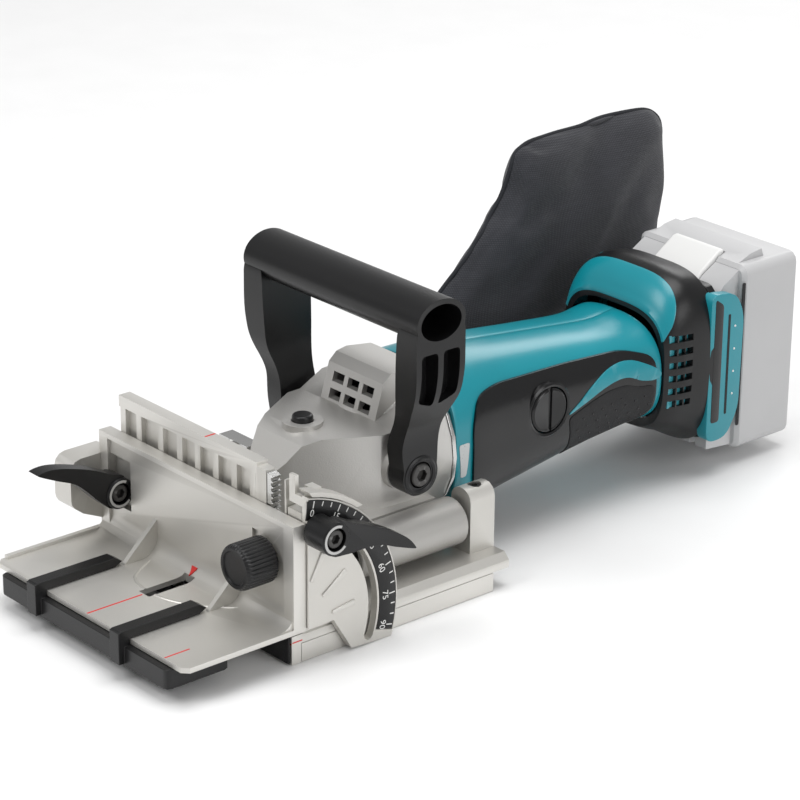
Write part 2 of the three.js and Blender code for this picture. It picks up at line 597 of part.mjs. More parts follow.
function gearHousing() {
  const nosePlan = [
    ...arc(0, BLADE.restY, 15.4, 200, 340, 10), [34, 82], [36, 119], [-36, 119], [-34, 82],
  ];
  const noseTop = extrude('x', [
    [30, 17.2], [30, 52], [37, 60], [50, 75], [58, 77.5], [90, 77.5], [104, 84], [121, 84], [121, 17.2],
  ], -45, 45);
  const caseBody = extrude('z', nosePlan, 17.2, 95).intersect(noseTop);
  const hood = extrude('x', [
    [80, 60], [89.5, 74.5], [95.5, 94.7], [100, 98.6], [106, 99.6], [121, 97.4], [121, 60],
  ], -19.6, 19.6);
  const dome = turned('y', [[0, 88], [18, 88], ...RING.map(({ y, r }) => [r, y]), [0, 121.4]], 0, AXIS_Z, 24);
  const buttonCollar = rod('z', 9.6, 60, 79.4, 0, 63.6, 20);
  const pads = rod('x', 11, GAP - HANDLE.bossIn, HANDLE.bossIn - GAP, HANDLE.y, HANDLE.bossZ, 20);
  const wings = block(-40, 40, 62, 110, 22, 41);
  const body = join(caseBody, hood, dome, buttonCollar, pads, wings);
  const gearRoom = join(
    rod('z', 14, 42.5, 62, 0, BLADE.restY, 18),
    rod('z', 11.5, 22, 43, 0, BLADE.restY, 16),
    rod('z', 9.6, 16, 23, 0, BLADE.restY, 16),
  );
  const shaftRoom = join(
    rod('y', 9, 56, 80, 0, AXIS_Z, 16),
    rod('y', 11.3, 79, 90, 0, AXIS_Z, 20),
    rod('y', 8, 88, 98, 0, AXIS_Z, 16),
    turned('y', [[0, 94], [24, 94], [33, 107], [35, 119], [35, 123], [0, 123]], 0, AXIS_Z, 20),
  );
  const ventRoom = extrude('x', [[92, 66], [97.6, 93], [101, 95.6], [112, 95.6], [112, 66]], -16.4, 16.4);
  const windows = [];
  for (const [z0, z1] of [[79, 83.6], [86.8, 91.4]]) {
    for (const x of [-10.6, 0, 10.6]) windows.push(block(x - 3.9, x + 3.9, 86, 100, z0, z1));
  }
  return cut(
    body, gearRoom, shaftRoom, ventRoom, ...windows,
    rod('z', 5.4, 61, 81, 0, 63.6, 16),
    rod('x', 3.3, 30, 43, HANDLE.y, HANDLE.bossZ, 12),
    rod('x', 3.3, -43, -30, HANDLE.y, HANDLE.bossZ, 12),
    block(-60, -40.6, 60, 112, 17, 45).add(block(40.6, 60, 60, 112, 17, 45)),
    rod('y', SLEEVE.radius + GAP, 46, 115, ROD.x, ROD.z, 24),
    rod('y', SLEEVE.radius + GAP, 46, 115, -ROD.x, ROD.z, 24),
  );
}

function slideSleeve(side) {
  const tube = rod('y', SLEEVE.radius, SLEEVE.front, SLEEVE.rear, side * ROD.x, ROD.z, 24);
  const springBore = rod(
    'y', SLEEVE.springRadius, SLEEVE.front - 1, SLEEVE.front + SLEEVE.springDepth, side * ROD.x, ROD.z, 20,
  );
  return cut(tube, rod('y', ROD.radius + GAP, 40, 120, side * ROD.x, ROD.z, 16), springBore);
}

const BODY = [
  { y: HOUSING.front, half: 38.4, low: 18.6, high: 96 },
  { y: 140, half: 38, low: 19, high: 96 },
  { y: 158, half: 36.6, low: 21.5, high: 95 },
  { y: 185, half: 35, low: 25.5, high: 92 },
  { y: 215, half: 33.6, low: 30, high: 88.5 },
  { y: 245, half: 33.4, low: 33, high: 85.5 },
  { y: HOUSING.rear, half: 34.6, low: 32, high: 87 },
];

/** Side outline of the soft grip panels, in Y and Z. */
const GRIP_OUTLINE = [
  [134.5, 46], [134.5, 68], [141, 82], [153, 85], [200, 83.5], [254, 82], [256, 40], [200, 24], [146, 17], [138, 26],
];

function housingShell() {
  const shell = cut(loft(BODY, 0, 24), loft(BODY, -3, 24));
  const seat = rod('x', BRUSH_CAP.radius + GAP, -50, 50, BRUSH_CAP.y, BRUSH_CAP.z, 20);
  const switchWindow = block(-40, -25, 203, 235, 58, 70);
  return cut(shell.subtract(block(-60, 60, 0, HOUSING.front, 0, 200)), seat, switchWindow);
}

function sideGrip() {
  const skin = cut(loft(BODY, 1.7, 24), loft(BODY, GAP, 24));
  const panel = skin.intersect(extrude('x', GRIP_OUTLINE, 10, 60));
  return cut(panel, rod('x', BRUSH_CAP.radius + 1.2, 20, 60, BRUSH_CAP.y, BRUSH_CAP.z, 20));
}

function rearCollar() {
  const sections = [
    { y: HOUSING.rear + GAP, half: 36, low: 28, high: 93 },
    { y: 270, half: 39, low: 25, high: 104 },
    { y: 280, half: 40.6, low: 21, high: 108.5 },
    { y: MOUNT_FACE - 5, half: 41.4, low: 14, high: 107 },
  ];
  const skirt = sections.map((s) => ({ ...s, half: s.half - 4, low: s.low + 4, high: s.high - 5 }));
  skirt[0].y -= 2;
  skirt.at(-1).y += 2;
  const shell = cut(loft(sections, 0, 20, 3.4), loft(skirt, 0, 16, 3.4));
  const cheek = extrude('x', [
    [MOUNT_FACE - 6, 18], [303, 20], [311, 34], [312, 84], [306, 96], [MOUNT_FACE - 6, 99],
  ], 34.4, 41.2, 1.4);
  const vents = [];
  for (let row = 0; row < 6; row++) {
    vents.push(block(28, 50, 264.5, 278, 44 + row * 6.8, 47.4 + row * 6.8));
  }
  const slots = vents.reduce((sum, next) => sum.add(next));
  const mountSeat = extrude('y', roundRect(-35.9, 35.9, 18.7, 100.8, 6.3, 3), MOUNT_FACE - 4.9, 330);
  return cut(join(shell, cheek, mirrored(cheek)), slots, mirrored(slots), mountSeat);
}

function batteryMount() {
  const plate = extrude('y', roundRect(-35.6, 35.6, 19, 100.5, 6, 3), MOUNT_FACE - 4.6, MOUNT_FACE);
  const rail = join(
    block(22, 25, MOUNT_FACE - 1, MOUNT_FACE + 6.4, 24, 90),
    block(22, 29, MOUNT_FACE + 3.4, MOUNT_FACE + 6.4, 24, 90),
  );
  const blades = [-12, 0, 12].map((x) => block(x - 0.6, x + 0.6, MOUNT_FACE - 1, MOUNT_FACE + 6, 40, 56));
  return join(plate, rail, mirrored(rail), ...blades);
}

/** The D-handle: an oval top bar across the tool and one leg on each side. */
function dHandle() {
  const { y, z, half, barDepth, barHeight, bossZ, bossIn, bossOut } = HANDLE;
  const oval = (trim, steps) => Array.from({ length: steps }, (_, i) => {
    const angle = 2 * Math.PI * i / steps;
    return [y + (barDepth - trim) * Math.cos(angle), z + (barHeight - trim) * Math.sin(angle)];
  });
  const sideView = extrude('x', [
    [y - barDepth, z], [y + barDepth, z], [y + 14.6, 118], [y + 14, 98], [y + 10.6, 86], [y + 10, 66],
    ...arc(y, bossZ, 10.4, 20, -200, 6), [y - 11.5, 74], [y - 10, 86], [y - 13.6, 98], [y - 14.5, 118],
  ], 20, 90);
  const frontView = extrude('y', [
    [bossIn, bossZ - 12], [bossIn, 77], [46.5, 97], [48.5, z - 4], [56, z + 9], [half, z + 6], [half, 112],
    [half - 2, 101], [50.6, 84], [bossOut, 76], [bossOut, bossZ - 12],
  ], y - 30, y + 30);
  const leg = sideView.intersect(frontView);
  const channel = join(
    extrude('x', [[y - 11, 100], [y - 2, 97], [y - 2, 123], [y - 11, 123]], 53, half + 1),
    extrude('x', [[y + 2, 97], [y + 11, 100], [y + 11, 123], [y + 2, 123]], 53, half + 1),
  );
  const bolt = join(
    rod('x', 3.3, bossIn - 4, half, y, bossZ, 12),
    rod('x', 6, bossOut - 4, half, y, bossZ, 16),
  );
  const hollow = extrude('x', oval(2.6, 14), 34, half + 1);
  return cut(
    join(extrude('x', oval(0, 18), -half, half), leg, mirrored(leg)),
    hollow, mirrored(hollow), channel, mirrored(channel), bolt, mirrored(bolt),
  );
}

function handleBolt() {
  const { y, bossZ, bossOut } = HANDLE;
  return cut(
    join(rod('x', 3, 31, bossOut - 3, y, bossZ, 12), rod('x', 5.6, bossOut - 3.6, bossOut + 1.2, y, bossZ, 18)),
    rod('x', 3, bossOut - 1.6, bossOut + 2, y, bossZ, 6),
  );
}

function bearing(axis, outer, inner, from, to, a, b) {
  return cut(rod(axis, outer, from, to, a, b, 16), rod(axis, inner, from - 1, to + 1, a, b, 16));
}

function buildMotorUnit() {
  piece('gear_housing', gearHousing(), GEAR_CAST);
  piece('slide_sleeve_right', slideSleeve(1), GEAR_CAST);
  piece('slide_sleeve_left', slideSleeve(-1), GEAR_CAST);
  const ring = cut(rod('y', 39.4, 121.7, 124, 0, AXIS_Z, 24), rod('y', 35.6, 120, 126, 0, AXIS_Z, 24));
  piece('motor_ring', ring, STEEL);
  const shell = housingShell();
  piece('housing_right', shell.intersect(rightOf(GAP / 2)), TEAL);
  piece('housing_left', shell.intersect(leftOf(-GAP / 2)), TEAL);
  const grip = sideGrip();
  piece('grip_right', grip, RUBBER);
  piece('grip_left', cut(mirrored(grip), block(-60, -20, 200, 238, 55, 73)), RUBBER);
  piece('rear_collar', rearCollar(), BLACK);
  piece('battery_mount', batteryMount(), BLACK);
  piece('d_handle', dHandle(), BLACK);
  piece('handle_bolt_right', handleBolt(), DARK_STEEL);
  piece('handle_bolt_left', mirrored(handleBolt()), DARK_STEEL);
  piece('spindle_bearing', bearing('z', 11, 5.3, 30, 37, 0, BLADE.restY), STEEL);
  piece('rotor_bearing_front', bearing('y', 11, 4.3, 80, 87, 0, AXIS_Z), STEEL);
  piece('rotor_bearing_rear', bearing('y', 11, 4.3, 205, 212, 0, AXIS_Z), STEEL);
  piece('stator', cut(rod('y', 28, 134, 172, 0, AXIS_Z, 20), rod('y', 20, 130, 180, 0, AXIS_Z, 20)), DARK_STEEL);
  const { y, z, radius } = BRUSH_CAP;
  const cap = rod('x', radius, 27, 37.4, y, z, 20);
  const capSlot = block(36.4, 38, y - 1.2, y + 1.2, z - radius - 1, z + radius + 1);
  piece('brush_cap_right', cut(cap, capSlot), BLACK);
  piece('brush_cap_left', mirrored(cut(cap, capSlot)), BLACK);
  piece('switch_unit', block(-20, 14, 218, 246, 44, 72), BLACK);
  piece('depth_stop_rod', join(
    rod('y', 2.4, TURRET.rear + PLUNGE + GAP, 62, TURRET.x + 7.2, TURRET.z, 10),
    block(-56, -34.6, 58, 66, TURRET.z - 4, TURRET.z + 4),
  ), STEEL);
}

// ---------------------------------------------------------------- moving pieces of the motor unit

function sawBlade() {
  const outline = [];
  const step = 360 / BLADE.teeth;
  for (let i = 0; i < BLADE.teeth; i++) {
    const at = i * step;
    outline.push(...arc(0, BLADE.restY, BLADE.root, at, at + step * 0.55, 3));
    outline.push(...arc(0, BLADE.restY, BLADE.root - 4, at + step * 0.62, at + step * 0.78, 1));
    outline.push(arc(0, BLADE.restY, BLADE.radius, at + step * 0.82, at + step, 1)[0]);
    outline.push(arc(0, BLADE.restY, BLADE.radius, at + step * 0.95, at + step, 1)[0]);
  }
  const body = extrude('z', outline, BLADE.z - BLADE.body / 2, BLADE.z + BLADE.body / 2);
  return cut(body, rod('z', BLADE.bore, 5, 15, 0, BLADE.restY, 20));
}

/** Drive gear about Z, teeth towards the motor shaft. */
function bevelGear() {
  const { gearTeeth, gearRadius, pinionRadius } = BEVEL;
  const faceZ = AXIS_Z - pinionRadius;
  const outline = [];
  for (let i = 0; i < gearTeeth; i++) {
    const at = i * 360 / gearTeeth;
    for (const [radius, offset] of [[-1.4, -7], [-0.2, -3], [-0.2, 3], [-1.4, 7]]) {
      outline.push(arc(0, BLADE.restY, gearRadius + radius, at + offset, at + offset, 1)[0]);
    }
  }
  return cut(
    join(extrude('z', outline, 49, faceZ), rod('z', 8, 45, 50, 0, BLADE.restY, 16)),
    rod('z', 4.4, 40, 60, 0, BLADE.restY, 14),
  );
}

function rotorShaft() {
  const { pinionTeeth, pinionRadius } = BEVEL;
  const teeth = [];
  for (let i = 0; i < pinionTeeth; i++) {
    const at = i * 360 / pinionTeeth;
    for (const [radius, offset] of [[-1.1, -12], [0, -6], [0, 6], [-1.1, 12]]) {
      teeth.push(arc(0, AXIS_Z, pinionRadius - 0.6 + radius, at + offset, at + offset, 1)[0]);
    }
  }
  return join(
    extrude('y', teeth, 59.2, 66),
    rod('y', 2.2, 65, 72, 0, AXIS_Z, 14),
    rod('y', 4, 71, 214, 0, AXIS_Z, 14),
  );
}

function fan() {
  const disc = join(rod('y', 28, 103.4, 105, 0, AXIS_Z, 24), rod('y', 10, 103, 110, 0, AXIS_Z, 16));
  const vanes = Array.from({ length: 7 }, (_, i) => {
    const vane = new THREE.BoxGeometry(14, 8, 1.4);
    vane.translate(21, 108.4, 0).rotateY(2 * Math.PI * i / 7).translate(0, 0, AXIS_Z);
    return solid(vane);
  });
  return cut(join(disc, ...vanes), rod('y', 4.3, 99, 116, 0, AXIS_Z, 14));
}

function buildDrive() {
  const y = BLADE.restY;
  piece('spindle', join(
    rod('z', 5, 14.4, 41, 0, y, 16), rod('z', 4.1, 5.6 + 1.8, 15, 0, y, 16), rod('z', 4.1, 40, 60, 0, y, 16),
  ), STEEL);
  piece('bevel_gear', bevelGear(), STEEL);
  piece('inner_flange', turned('z', [
    [0, 11.6], [9.6, 11.6], [14.6, 11.6], [14.6, 13], [8.4, 16.4], [8.4, 21], [0, 21],
  ], 0, y, 24).subtract(rod('z', 5.3, 10, 22, 0, y, 16)), STEEL);
  piece('blade', sawBlade(), STEEL);
  piece('lock_nut', turned('z', [
    [0, 6.6], [11, 6.6], [11, 8.2], [9.6, 8.3], [9.6, 11.2], [0, 11.2],
  ], 0, y, 20).subtract(rod('z', 4.4, 5, 13, 0, y, 16)), DARK_STEEL);
  piece('rotor_shaft', rotorShaft(), STEEL);
  piece('rotor_core', cut(rod('y', 18.6, 136, 174, 0, AXIS_Z, 24), rod('y', 4.3, 130, 180, 0, AXIS_Z, 14)), COPPER);
  piece('commutator', cut(rod('y', 12, 178, 192, 0, AXIS_Z, 20), rod('y', 4.3, 176, 194, 0, AXIS_Z, 14)), COPPER);
  piece('fan', fan(), BLACK);
  piece('shaft_lock', turned('z', [
    [0, 62.4], [2.2, 62.4], [2.2, 66], [5, 66], [5, 75], [5, 81.6], [4.2, 82.4], [0, 82.4],
  ], 0, 63.6, 20), BLACK);
  piece('slide_switch', join(
    block(-36.6, -21, 208, 226, 60, 68), block(-38.4, -36, 209, 225, 61, 67),
  ), BLACK);
  buildDepthTurret();
  buildBattery();
}

/** Depth turret: a wheel whose rear face has five steps for the stop rod. */
function buildDepthTurret() {
  const { x, z, radius, front, rear } = TURRET;
  const steps = [0, 1, 2, 3, 4].map((step) => extrude('y', [
    [x, z], ...arc(x, z, radius - 1, step * 72, step * 72 + 72, 3),
  ], front + 3, rear - step));
  const wheel = rod('y', radius, front, front + 4, x, z, 24);
  const pin = rod('y', 3, ROD_BLOCK.front + 0.6, front + 1, x, z, 12);
  piece('depth_turret', join(wheel, ...steps, pin), BLACK);
}

function buildBattery() {
  const { half, rear, low, top, neckHalf, neckRear, neckTop, shoulder } = BATTERY;
  const slope = [[neckRear + 1, shoulder], [305, neckTop], [MOUNT_FACE + 0.6, 90]];
  const pack = join(
    extrude('y', roundRect(-half, half, low, top, 5, 3), neckRear - 3, rear, 2),
    extrude('x', [[MOUNT_FACE + 0.6, 12], [neckRear + 1, 10], ...slope], -neckHalf, neckHalf),
    extrude('x', [[neckRear, top - 8], [339, top - 8], [334, 110], [326, 109], [neckRear, shoulder]], -30, 30),
  );
  piece('battery', cut(pack, batteryGrooves(), block(-17, 17, 300, 322, 86.6, 120)), GREY);
  piece('battery_button', extrude('x', [
    [300.4, 90.4], [321.6, 90.4], [321.6, 109], [318, 108.6], [306, 100.6], [300.4, 95],
  ], -16.6, 16.6), WHITE);
}

/** Grooves for the mount's rails and contact blades, open at the lower end of the pack. */
function batteryGrooves() {
  const groove = join(
    block(21.4, 25.6, MOUNT_FACE - 1, MOUNT_FACE + 7, 0, 91),
    block(21.4, 29.6, MOUNT_FACE + 2.8, MOUNT_FACE + 7, 0, 91),
  );
  const contacts = [-12, 0, 12].map((x) => block(x - 1.2, x + 1.2, MOUNT_FACE - 1, MOUNT_FACE + 6.6, 0, 57));
  return join(groove, mirrored(groove), ...contacts);
}

buildBase();
buildDust();
buildFence();
buildMotorUnit();
buildDrive();

export default joiner;
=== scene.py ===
"""Looks of the biscuit joiner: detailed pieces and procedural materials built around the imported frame."""
import json
import math
import bmesh
import bpy
from mathutils import Matrix, Vector, noise


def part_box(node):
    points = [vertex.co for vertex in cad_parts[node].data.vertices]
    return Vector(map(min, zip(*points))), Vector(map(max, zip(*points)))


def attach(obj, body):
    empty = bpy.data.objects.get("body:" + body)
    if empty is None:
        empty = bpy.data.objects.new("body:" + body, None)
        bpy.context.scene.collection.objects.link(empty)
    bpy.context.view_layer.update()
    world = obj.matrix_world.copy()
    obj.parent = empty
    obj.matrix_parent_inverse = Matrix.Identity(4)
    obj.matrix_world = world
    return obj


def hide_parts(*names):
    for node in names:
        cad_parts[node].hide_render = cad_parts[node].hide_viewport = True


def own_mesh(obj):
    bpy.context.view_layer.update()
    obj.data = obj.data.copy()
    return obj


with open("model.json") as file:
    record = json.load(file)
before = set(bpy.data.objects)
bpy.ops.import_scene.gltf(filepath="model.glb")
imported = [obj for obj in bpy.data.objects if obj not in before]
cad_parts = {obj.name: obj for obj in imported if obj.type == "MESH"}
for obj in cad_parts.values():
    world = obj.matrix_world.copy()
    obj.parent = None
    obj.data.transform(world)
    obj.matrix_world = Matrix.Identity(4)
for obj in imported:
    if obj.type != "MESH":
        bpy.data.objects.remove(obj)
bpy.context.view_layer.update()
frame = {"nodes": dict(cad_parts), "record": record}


# ---------------------------------------------------------------- dimensions in mm, base front at y 0

BLADE_Y = 52.0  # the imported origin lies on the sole, below the blade axis
TILT = (-3.5, 19.7)  # tilt axis of the angle guide: y, z
# Lofts: rows of y, half width, lowest z and highest z, then how square the sections are.
BODY = [(124.3, 38.4, 18.6, 96), (140, 38, 19, 96), (158, 36.6, 21.5, 95), (185, 35, 25.5, 92),
        (215, 33.6, 30, 88.5), (245, 33.4, 33, 85.5), (262, 34.6, 32, 87)]
BODY_POWER = 2.6
COLLAR = [(262.4, 35.6, 28.6, 93), (266, 37.6, 26.8, 99.5), (270, 39, 25, 104), (275, 40, 23.2, 107),
          (280, 40.6, 21, 108.4), (286, 41.1, 17.6, 108), (292, 41.3, 14.2, 107)]
COLLAR_POWER = 3.4
CAP = (184.8, 64, 11.2)  # brush cap: y, z, radius
VENT_ROWS = [44 + row * 6.8 for row in range(6)]  # lower edge of each vent in the rear collar
SWITCH_WINDOW = (-60, -20, 200, 238, 55, 73)  # cut out of the left panel
POST_SCREW = (51.25, 124)  # x, y
KNOB = (52, 47, 10.8, -0.7)  # x, z, radius, rear y
ANGLE_LOCK = (11.3, 65, 7.6, 74.2, 88)  # y, z, hub radius, inner x, outer x
HEIGHT_LOCK = (-3, 43.5, 7.6, -65.2, -51)
HANDLE = dict(y=93, z=138, half=62, depth=14.4, height=11, boss_z=60, boss_in=38.4, boss_out=49)
BAG_NECK = (170, 46)  # y, z
BAG_CENTRE_X = -0.074  # metres
CLOTH_FRAMES = 16
CLOTH_LIMIT = (0.009, 0.0025, 0.0025)  # furthest that the simulation may move the bag, in metres


def point(x, y, z):
    return Vector((x / 1000, (y - BLADE_Y) / 1000, z / 1000))


# ---------------------------------------------------------------- materials

def material(name, colour, rough, metal=0.0, grain=0.0, grain_size=1.0, vary=0.06, rough_vary=0.08, wear=0.0,
             specular=0.5, coat=0.0, streak=None, fibre=0.0):
    """Principled look with a fine bump, a slow colour drift and worn edges. Sizes are in millimetres."""
    mat = bpy.data.materials.new(name)
    mat.use_nodes = True
    tree = mat.node_tree
    nodes, links = tree.nodes, tree.links
    shader = nodes["Principled BSDF"]
    shader.inputs["Metallic"].default_value = metal
    shader.inputs["Specular IOR Level"].default_value = specular
    shader.inputs["Coat Weight"].default_value = coat
    shader.inputs["Coat Roughness"].default_value = 0.25
    if fibre:
        shader.inputs["Sheen Weight"].default_value = fibre
        shader.inputs["Sheen Roughness"].default_value = 0.6
    coords = nodes.new("ShaderNodeTexCoord")
    where = coords.outputs["Object"]
    if streak:
        stretch = nodes.new("ShaderNodeMapping")
        stretch.inputs["Scale"].default_value = streak
        links.new(where, stretch.inputs["Vector"])
        fine_where = stretch.outputs["Vector"]
    else:
        fine_where = where

    def noise_at(size, detail, source):
        node = nodes.new("ShaderNodeTexNoise")
        node.inputs["Scale"].default_value = 1000 / size
        node.inputs["Detail"].default_value = detail
        links.new(source, node.inputs["Vector"])
        return node.outputs["Fac"]

    slow = noise_at(38, 3, where)
    fine = noise_at(grain_size, 4, fine_where)
    ramp = nodes.new("ShaderNodeValToRGB")
    ramp.color_ramp.elements[0].position = 0.3
    ramp.color_ramp.elements[1].position = 0.7
    ramp.color_ramp.elements[0].color = (*[max(0, c * (1 - vary)) for c in colour], 1)
    ramp.color_ramp.elements[1].color = (*[min(1, c * (1 + vary)) for c in colour], 1)
    links.new(slow, ramp.inputs["Fac"])
    colour_out = ramp.outputs["Color"]
    if wear:
        geo = nodes.new("ShaderNodeNewGeometry")
        edge = nodes.new("ShaderNodeValToRGB")
        edge.color_ramp.elements[0].position = 0.51
        edge.color_ramp.elements[1].position = 0.62
        links.new(geo.outputs["Pointiness"], edge.inputs["Fac"])
        mix = nodes.new("ShaderNodeMix")
        mix.data_type = "RGBA"
        links.new(edge.outputs["Color"], mix.inputs["Factor"])
        links.new(colour_out, mix.inputs["A"])
        mix.inputs["B"].default_value = (*[min(1, c + wear) for c in colour], 1)
        colour_out = mix.outputs["Result"]
    links.new(colour_out, shader.inputs["Base Color"])
    span = nodes.new("ShaderNodeMapRange")
    span.inputs["To Min"].default_value = max(0.04, rough - rough_vary)
    span.inputs["To Max"].default_value = min(1, rough + rough_vary)
    links.new(fine, span.inputs["Value"])
    links.new(span.outputs["Result"], shader.inputs["Roughness"])
    if grain:
        bump = nodes.new("ShaderNodeBump")
        bump.inputs["Strength"].default_value = grain
        bump.inputs["Distance"].default_value = 0.0003
        links.new(fine, bump.inputs["Height"])
        links.new(bump.outputs["Normal"], shader.inputs["Normal"])
    return mat


def weave(name, colour):
    """Plain woven cloth: two crossed sets of threads, slubs and a soft sheen."""
    mat = material(name, colour, 0.86, vary=0.16, rough_vary=0.05, specular=0.14, fibre=0.2)
    nodes, links = mat.node_tree.nodes, mat.node_tree.links
    shader = nodes["Principled BSDF"]
    coords = nodes.new("ShaderNodeTexCoord")
    threads = []
    for axis in ("Y", "Z"):
        wave = nodes.new("ShaderNodeTexWave")
        wave.bands_direction = axis
        wave.inputs["Scale"].default_value = 330
        wave.inputs["Distortion"].default_value = 1.3
        wave.inputs["Detail Scale"].default_value = 2.0
        links.new(coords.outputs["Object"], wave.inputs["Vector"])
        threads.append(wave.outputs["Fac"])
    both = nodes.new("ShaderNodeMath")
    both.operation = "MULTIPLY"
    links.new(threads[0], both.inputs[0])
    links.new(threads[1], both.inputs[1])
    slub = nodes.new("ShaderNodeTexNoise")
    slub.inputs["Scale"].default_value = 420
    slub.inputs["Detail"].default_value = 3
    squeeze = nodes.new("ShaderNodeMapping")
    squeeze.inputs["Scale"].default_value = (1, 0.25, 1)
    links.new(coords.outputs["Object"], squeeze.inputs["Vector"])
    links.new(squeeze.outputs["Vector"], slub.inputs["Vector"])
    total = nodes.new("ShaderNodeMath")
    total.operation = "ADD"
    links.new(both.outputs[0], total.inputs[0])
    links.new(slub.outputs["Fac"], total.inputs[1])
    bump = nodes.new("ShaderNodeBump")
    bump.inputs["Strength"].default_value = 0.55
    bump.inputs["Distance"].default_value = 0.0004
    links.new(total.outputs[0], bump.inputs["Height"])
    links.new(bump.outputs["Normal"], shader.inputs["Normal"])
    old = shader.inputs["Base Color"].links[0].from_socket
    mix = nodes.new("ShaderNodeMix")
    mix.data_type = "RGBA"
    mix.blend_type = "MULTIPLY"
    mix.inputs["Factor"].default_value = 0.55
    shade = nodes.new("ShaderNodeMapRange")
    shade.inputs["From Min"].default_value = 0.2
    shade.inputs["From Max"].default_value = 1.3
    shade.inputs["To Min"].default_value = 0.45
    shade.inputs["To Max"].default_value = 1.35
    links.new(total.outputs[0], shade.inputs["Value"])
    links.new(old, mix.inputs["A"])
    links.new(shade.outputs["Result"], mix.inputs["B"])
    links.new(mix.outputs["Result"], shader.inputs["Base Color"])
    return mat


MATS = {
    "cast_aluminium": material("bead-blasted aluminium", (0.60, 0.585, 0.55), 0.42, 0.72, grain=0.16,
                               grain_size=0.55,
                               vary=0.04, wear=0.12),
    "gear_case_metal": material("die-cast gear case", (0.40, 0.39, 0.37), 0.42, 0.72, grain=0.3,
                                grain_size=0.7,
                                vary=0.07, wear=0.16),
    "steel": material("bright steel", (0.62, 0.62, 0.61), 0.22, 1.0, grain=0.05, grain_size=0.5,
                      streak=(1, 0.1, 1)),
    "dark_steel": material("blackened steel", (0.05, 0.048, 0.046), 0.36, 0.6, grain=0.12, grain_size=0.4,
                           wear=0.1),
    "black_plastic": material("glass-filled black plastic", (0.006, 0.006, 0.0065), 0.32, grain=0.2,
                              grain_size=0.42,
                              vary=0.12, wear=0.008, specular=0.36),
    "gloss_black": material("polished black plastic", (0.006, 0.006, 0.0065), 0.2, grain=0.04,
                            grain_size=0.5, vary=0.1,
                            rough_vary=0.04, specular=0.42),
    "soft_grip": material("textured rubber", (0.009, 0.009, 0.01), 0.5, grain=0.5, grain_size=0.5, vary=0.15,
                          specular=0.3),
    "teal_plastic": material("teal moulded plastic", (0.002, 0.235, 0.29), 0.3, grain=0.06, grain_size=0.7,
                             vary=0.05,
                             rough_vary=0.05, wear=0.04, specular=0.5, coat=0.15),
    "bag_fabric": weave("charcoal cloth", (0.031, 0.032, 0.038)),
    "seam_thread": material("seam tape", (0.025, 0.026, 0.03), 0.8, grain=0.5, grain_size=0.4, specular=0.2),
    "battery_plastic": material("light grey battery shell", (0.47, 0.47, 0.475), 0.42, grain=0.16,
                                grain_size=0.5,
                                vary=0.03, wear=0.06),
    "light_plastic": material("off-white button", (0.74, 0.74, 0.73), 0.38, grain=0.08, grain_size=0.5,
                              vary=0.02),
    "winding": material("lacquered copper", (0.5, 0.17, 0.06), 0.3, 0.9, grain=0.4, grain_size=0.6),
    "red_mark": material("red index paint", (0.62, 0.025, 0.02), 0.45, vary=0.08),
    "white_mark": material("white scale paint", (0.78, 0.78, 0.76), 0.5, vary=0.03),
    "ring_metal": material("satin ring", (0.5, 0.5, 0.49), 0.35, 0.5, vary=0.05),
    "label": material("silver label foil", (0.5, 0.52, 0.52), 0.3, 0.3, vary=0.03),
    "dark_inside": material("shadowed inside", (0.008, 0.008, 0.009), 0.7, vary=0.1),
}
SLOTS = {s["node"]: s["material_slot"] for s in frame["record"]["subparts"]}
BODY_OF = {}
for body_name, members in frame["record"]["behaviour"]["bodies"].items():
    for member in (members if isinstance(members, list) else members["nodes"]):
        BODY_OF[member] = body_name


# ---------------------------------------------------------------- mesh helpers

def add_object(name, data):
    obj = bpy.data.objects.new(name, data)
    bpy.context.scene.collection.objects.link(obj)
    return obj


def new_object(name, bm):
    mesh = bpy.data.meshes.new(name)
    bm.normal_update()
    bm.to_mesh(mesh)
    bm.free()
    return add_object(name, mesh)


def outward(name, bm):
    """New object with its faces turned outwards."""
    bmesh.ops.recalc_face_normals(bm, faces=bm.faces)
    return new_object(name, bm)


def curve_mesh(name, curve):
    """Mesh of a text or a bevelled curve."""
    shown = add_object(name, curve)
    graph = bpy.context.evaluated_depsgraph_get()
    graph.update()
    mesh = bpy.data.meshes.new_from_object(shown.evaluated_get(graph))
    bpy.data.objects.remove(shown)
    return mesh


def paint(obj, look):
    obj.data.materials.clear()
    obj.data.materials.append(MATS[look])


def bake(obj):
    """Applies every modifier."""
    graph = bpy.context.evaluated_depsgraph_get()
    graph.update()
    mesh = bpy.data.meshes.new_from_object(obj.evaluated_get(graph), depsgraph=graph)
    obj.modifiers.clear()
    old = obj.data
    obj.data = mesh
    bpy.data.meshes.remove(old)


def smooth(obj, angle=34):
    mesh = obj.data
    mesh.shade_smooth()
    bm = bmesh.new()
    bm.from_mesh(mesh)
    for edge in bm.edges:
        if len(edge.link_faces) == 2 and edge.calc_face_angle(0) > math.radians(angle):
            edge.smooth = False
    bm.to_mesh(mesh)
    bm.free()


COVERED = set()  # CAD nodes that a detailed piece stands in for


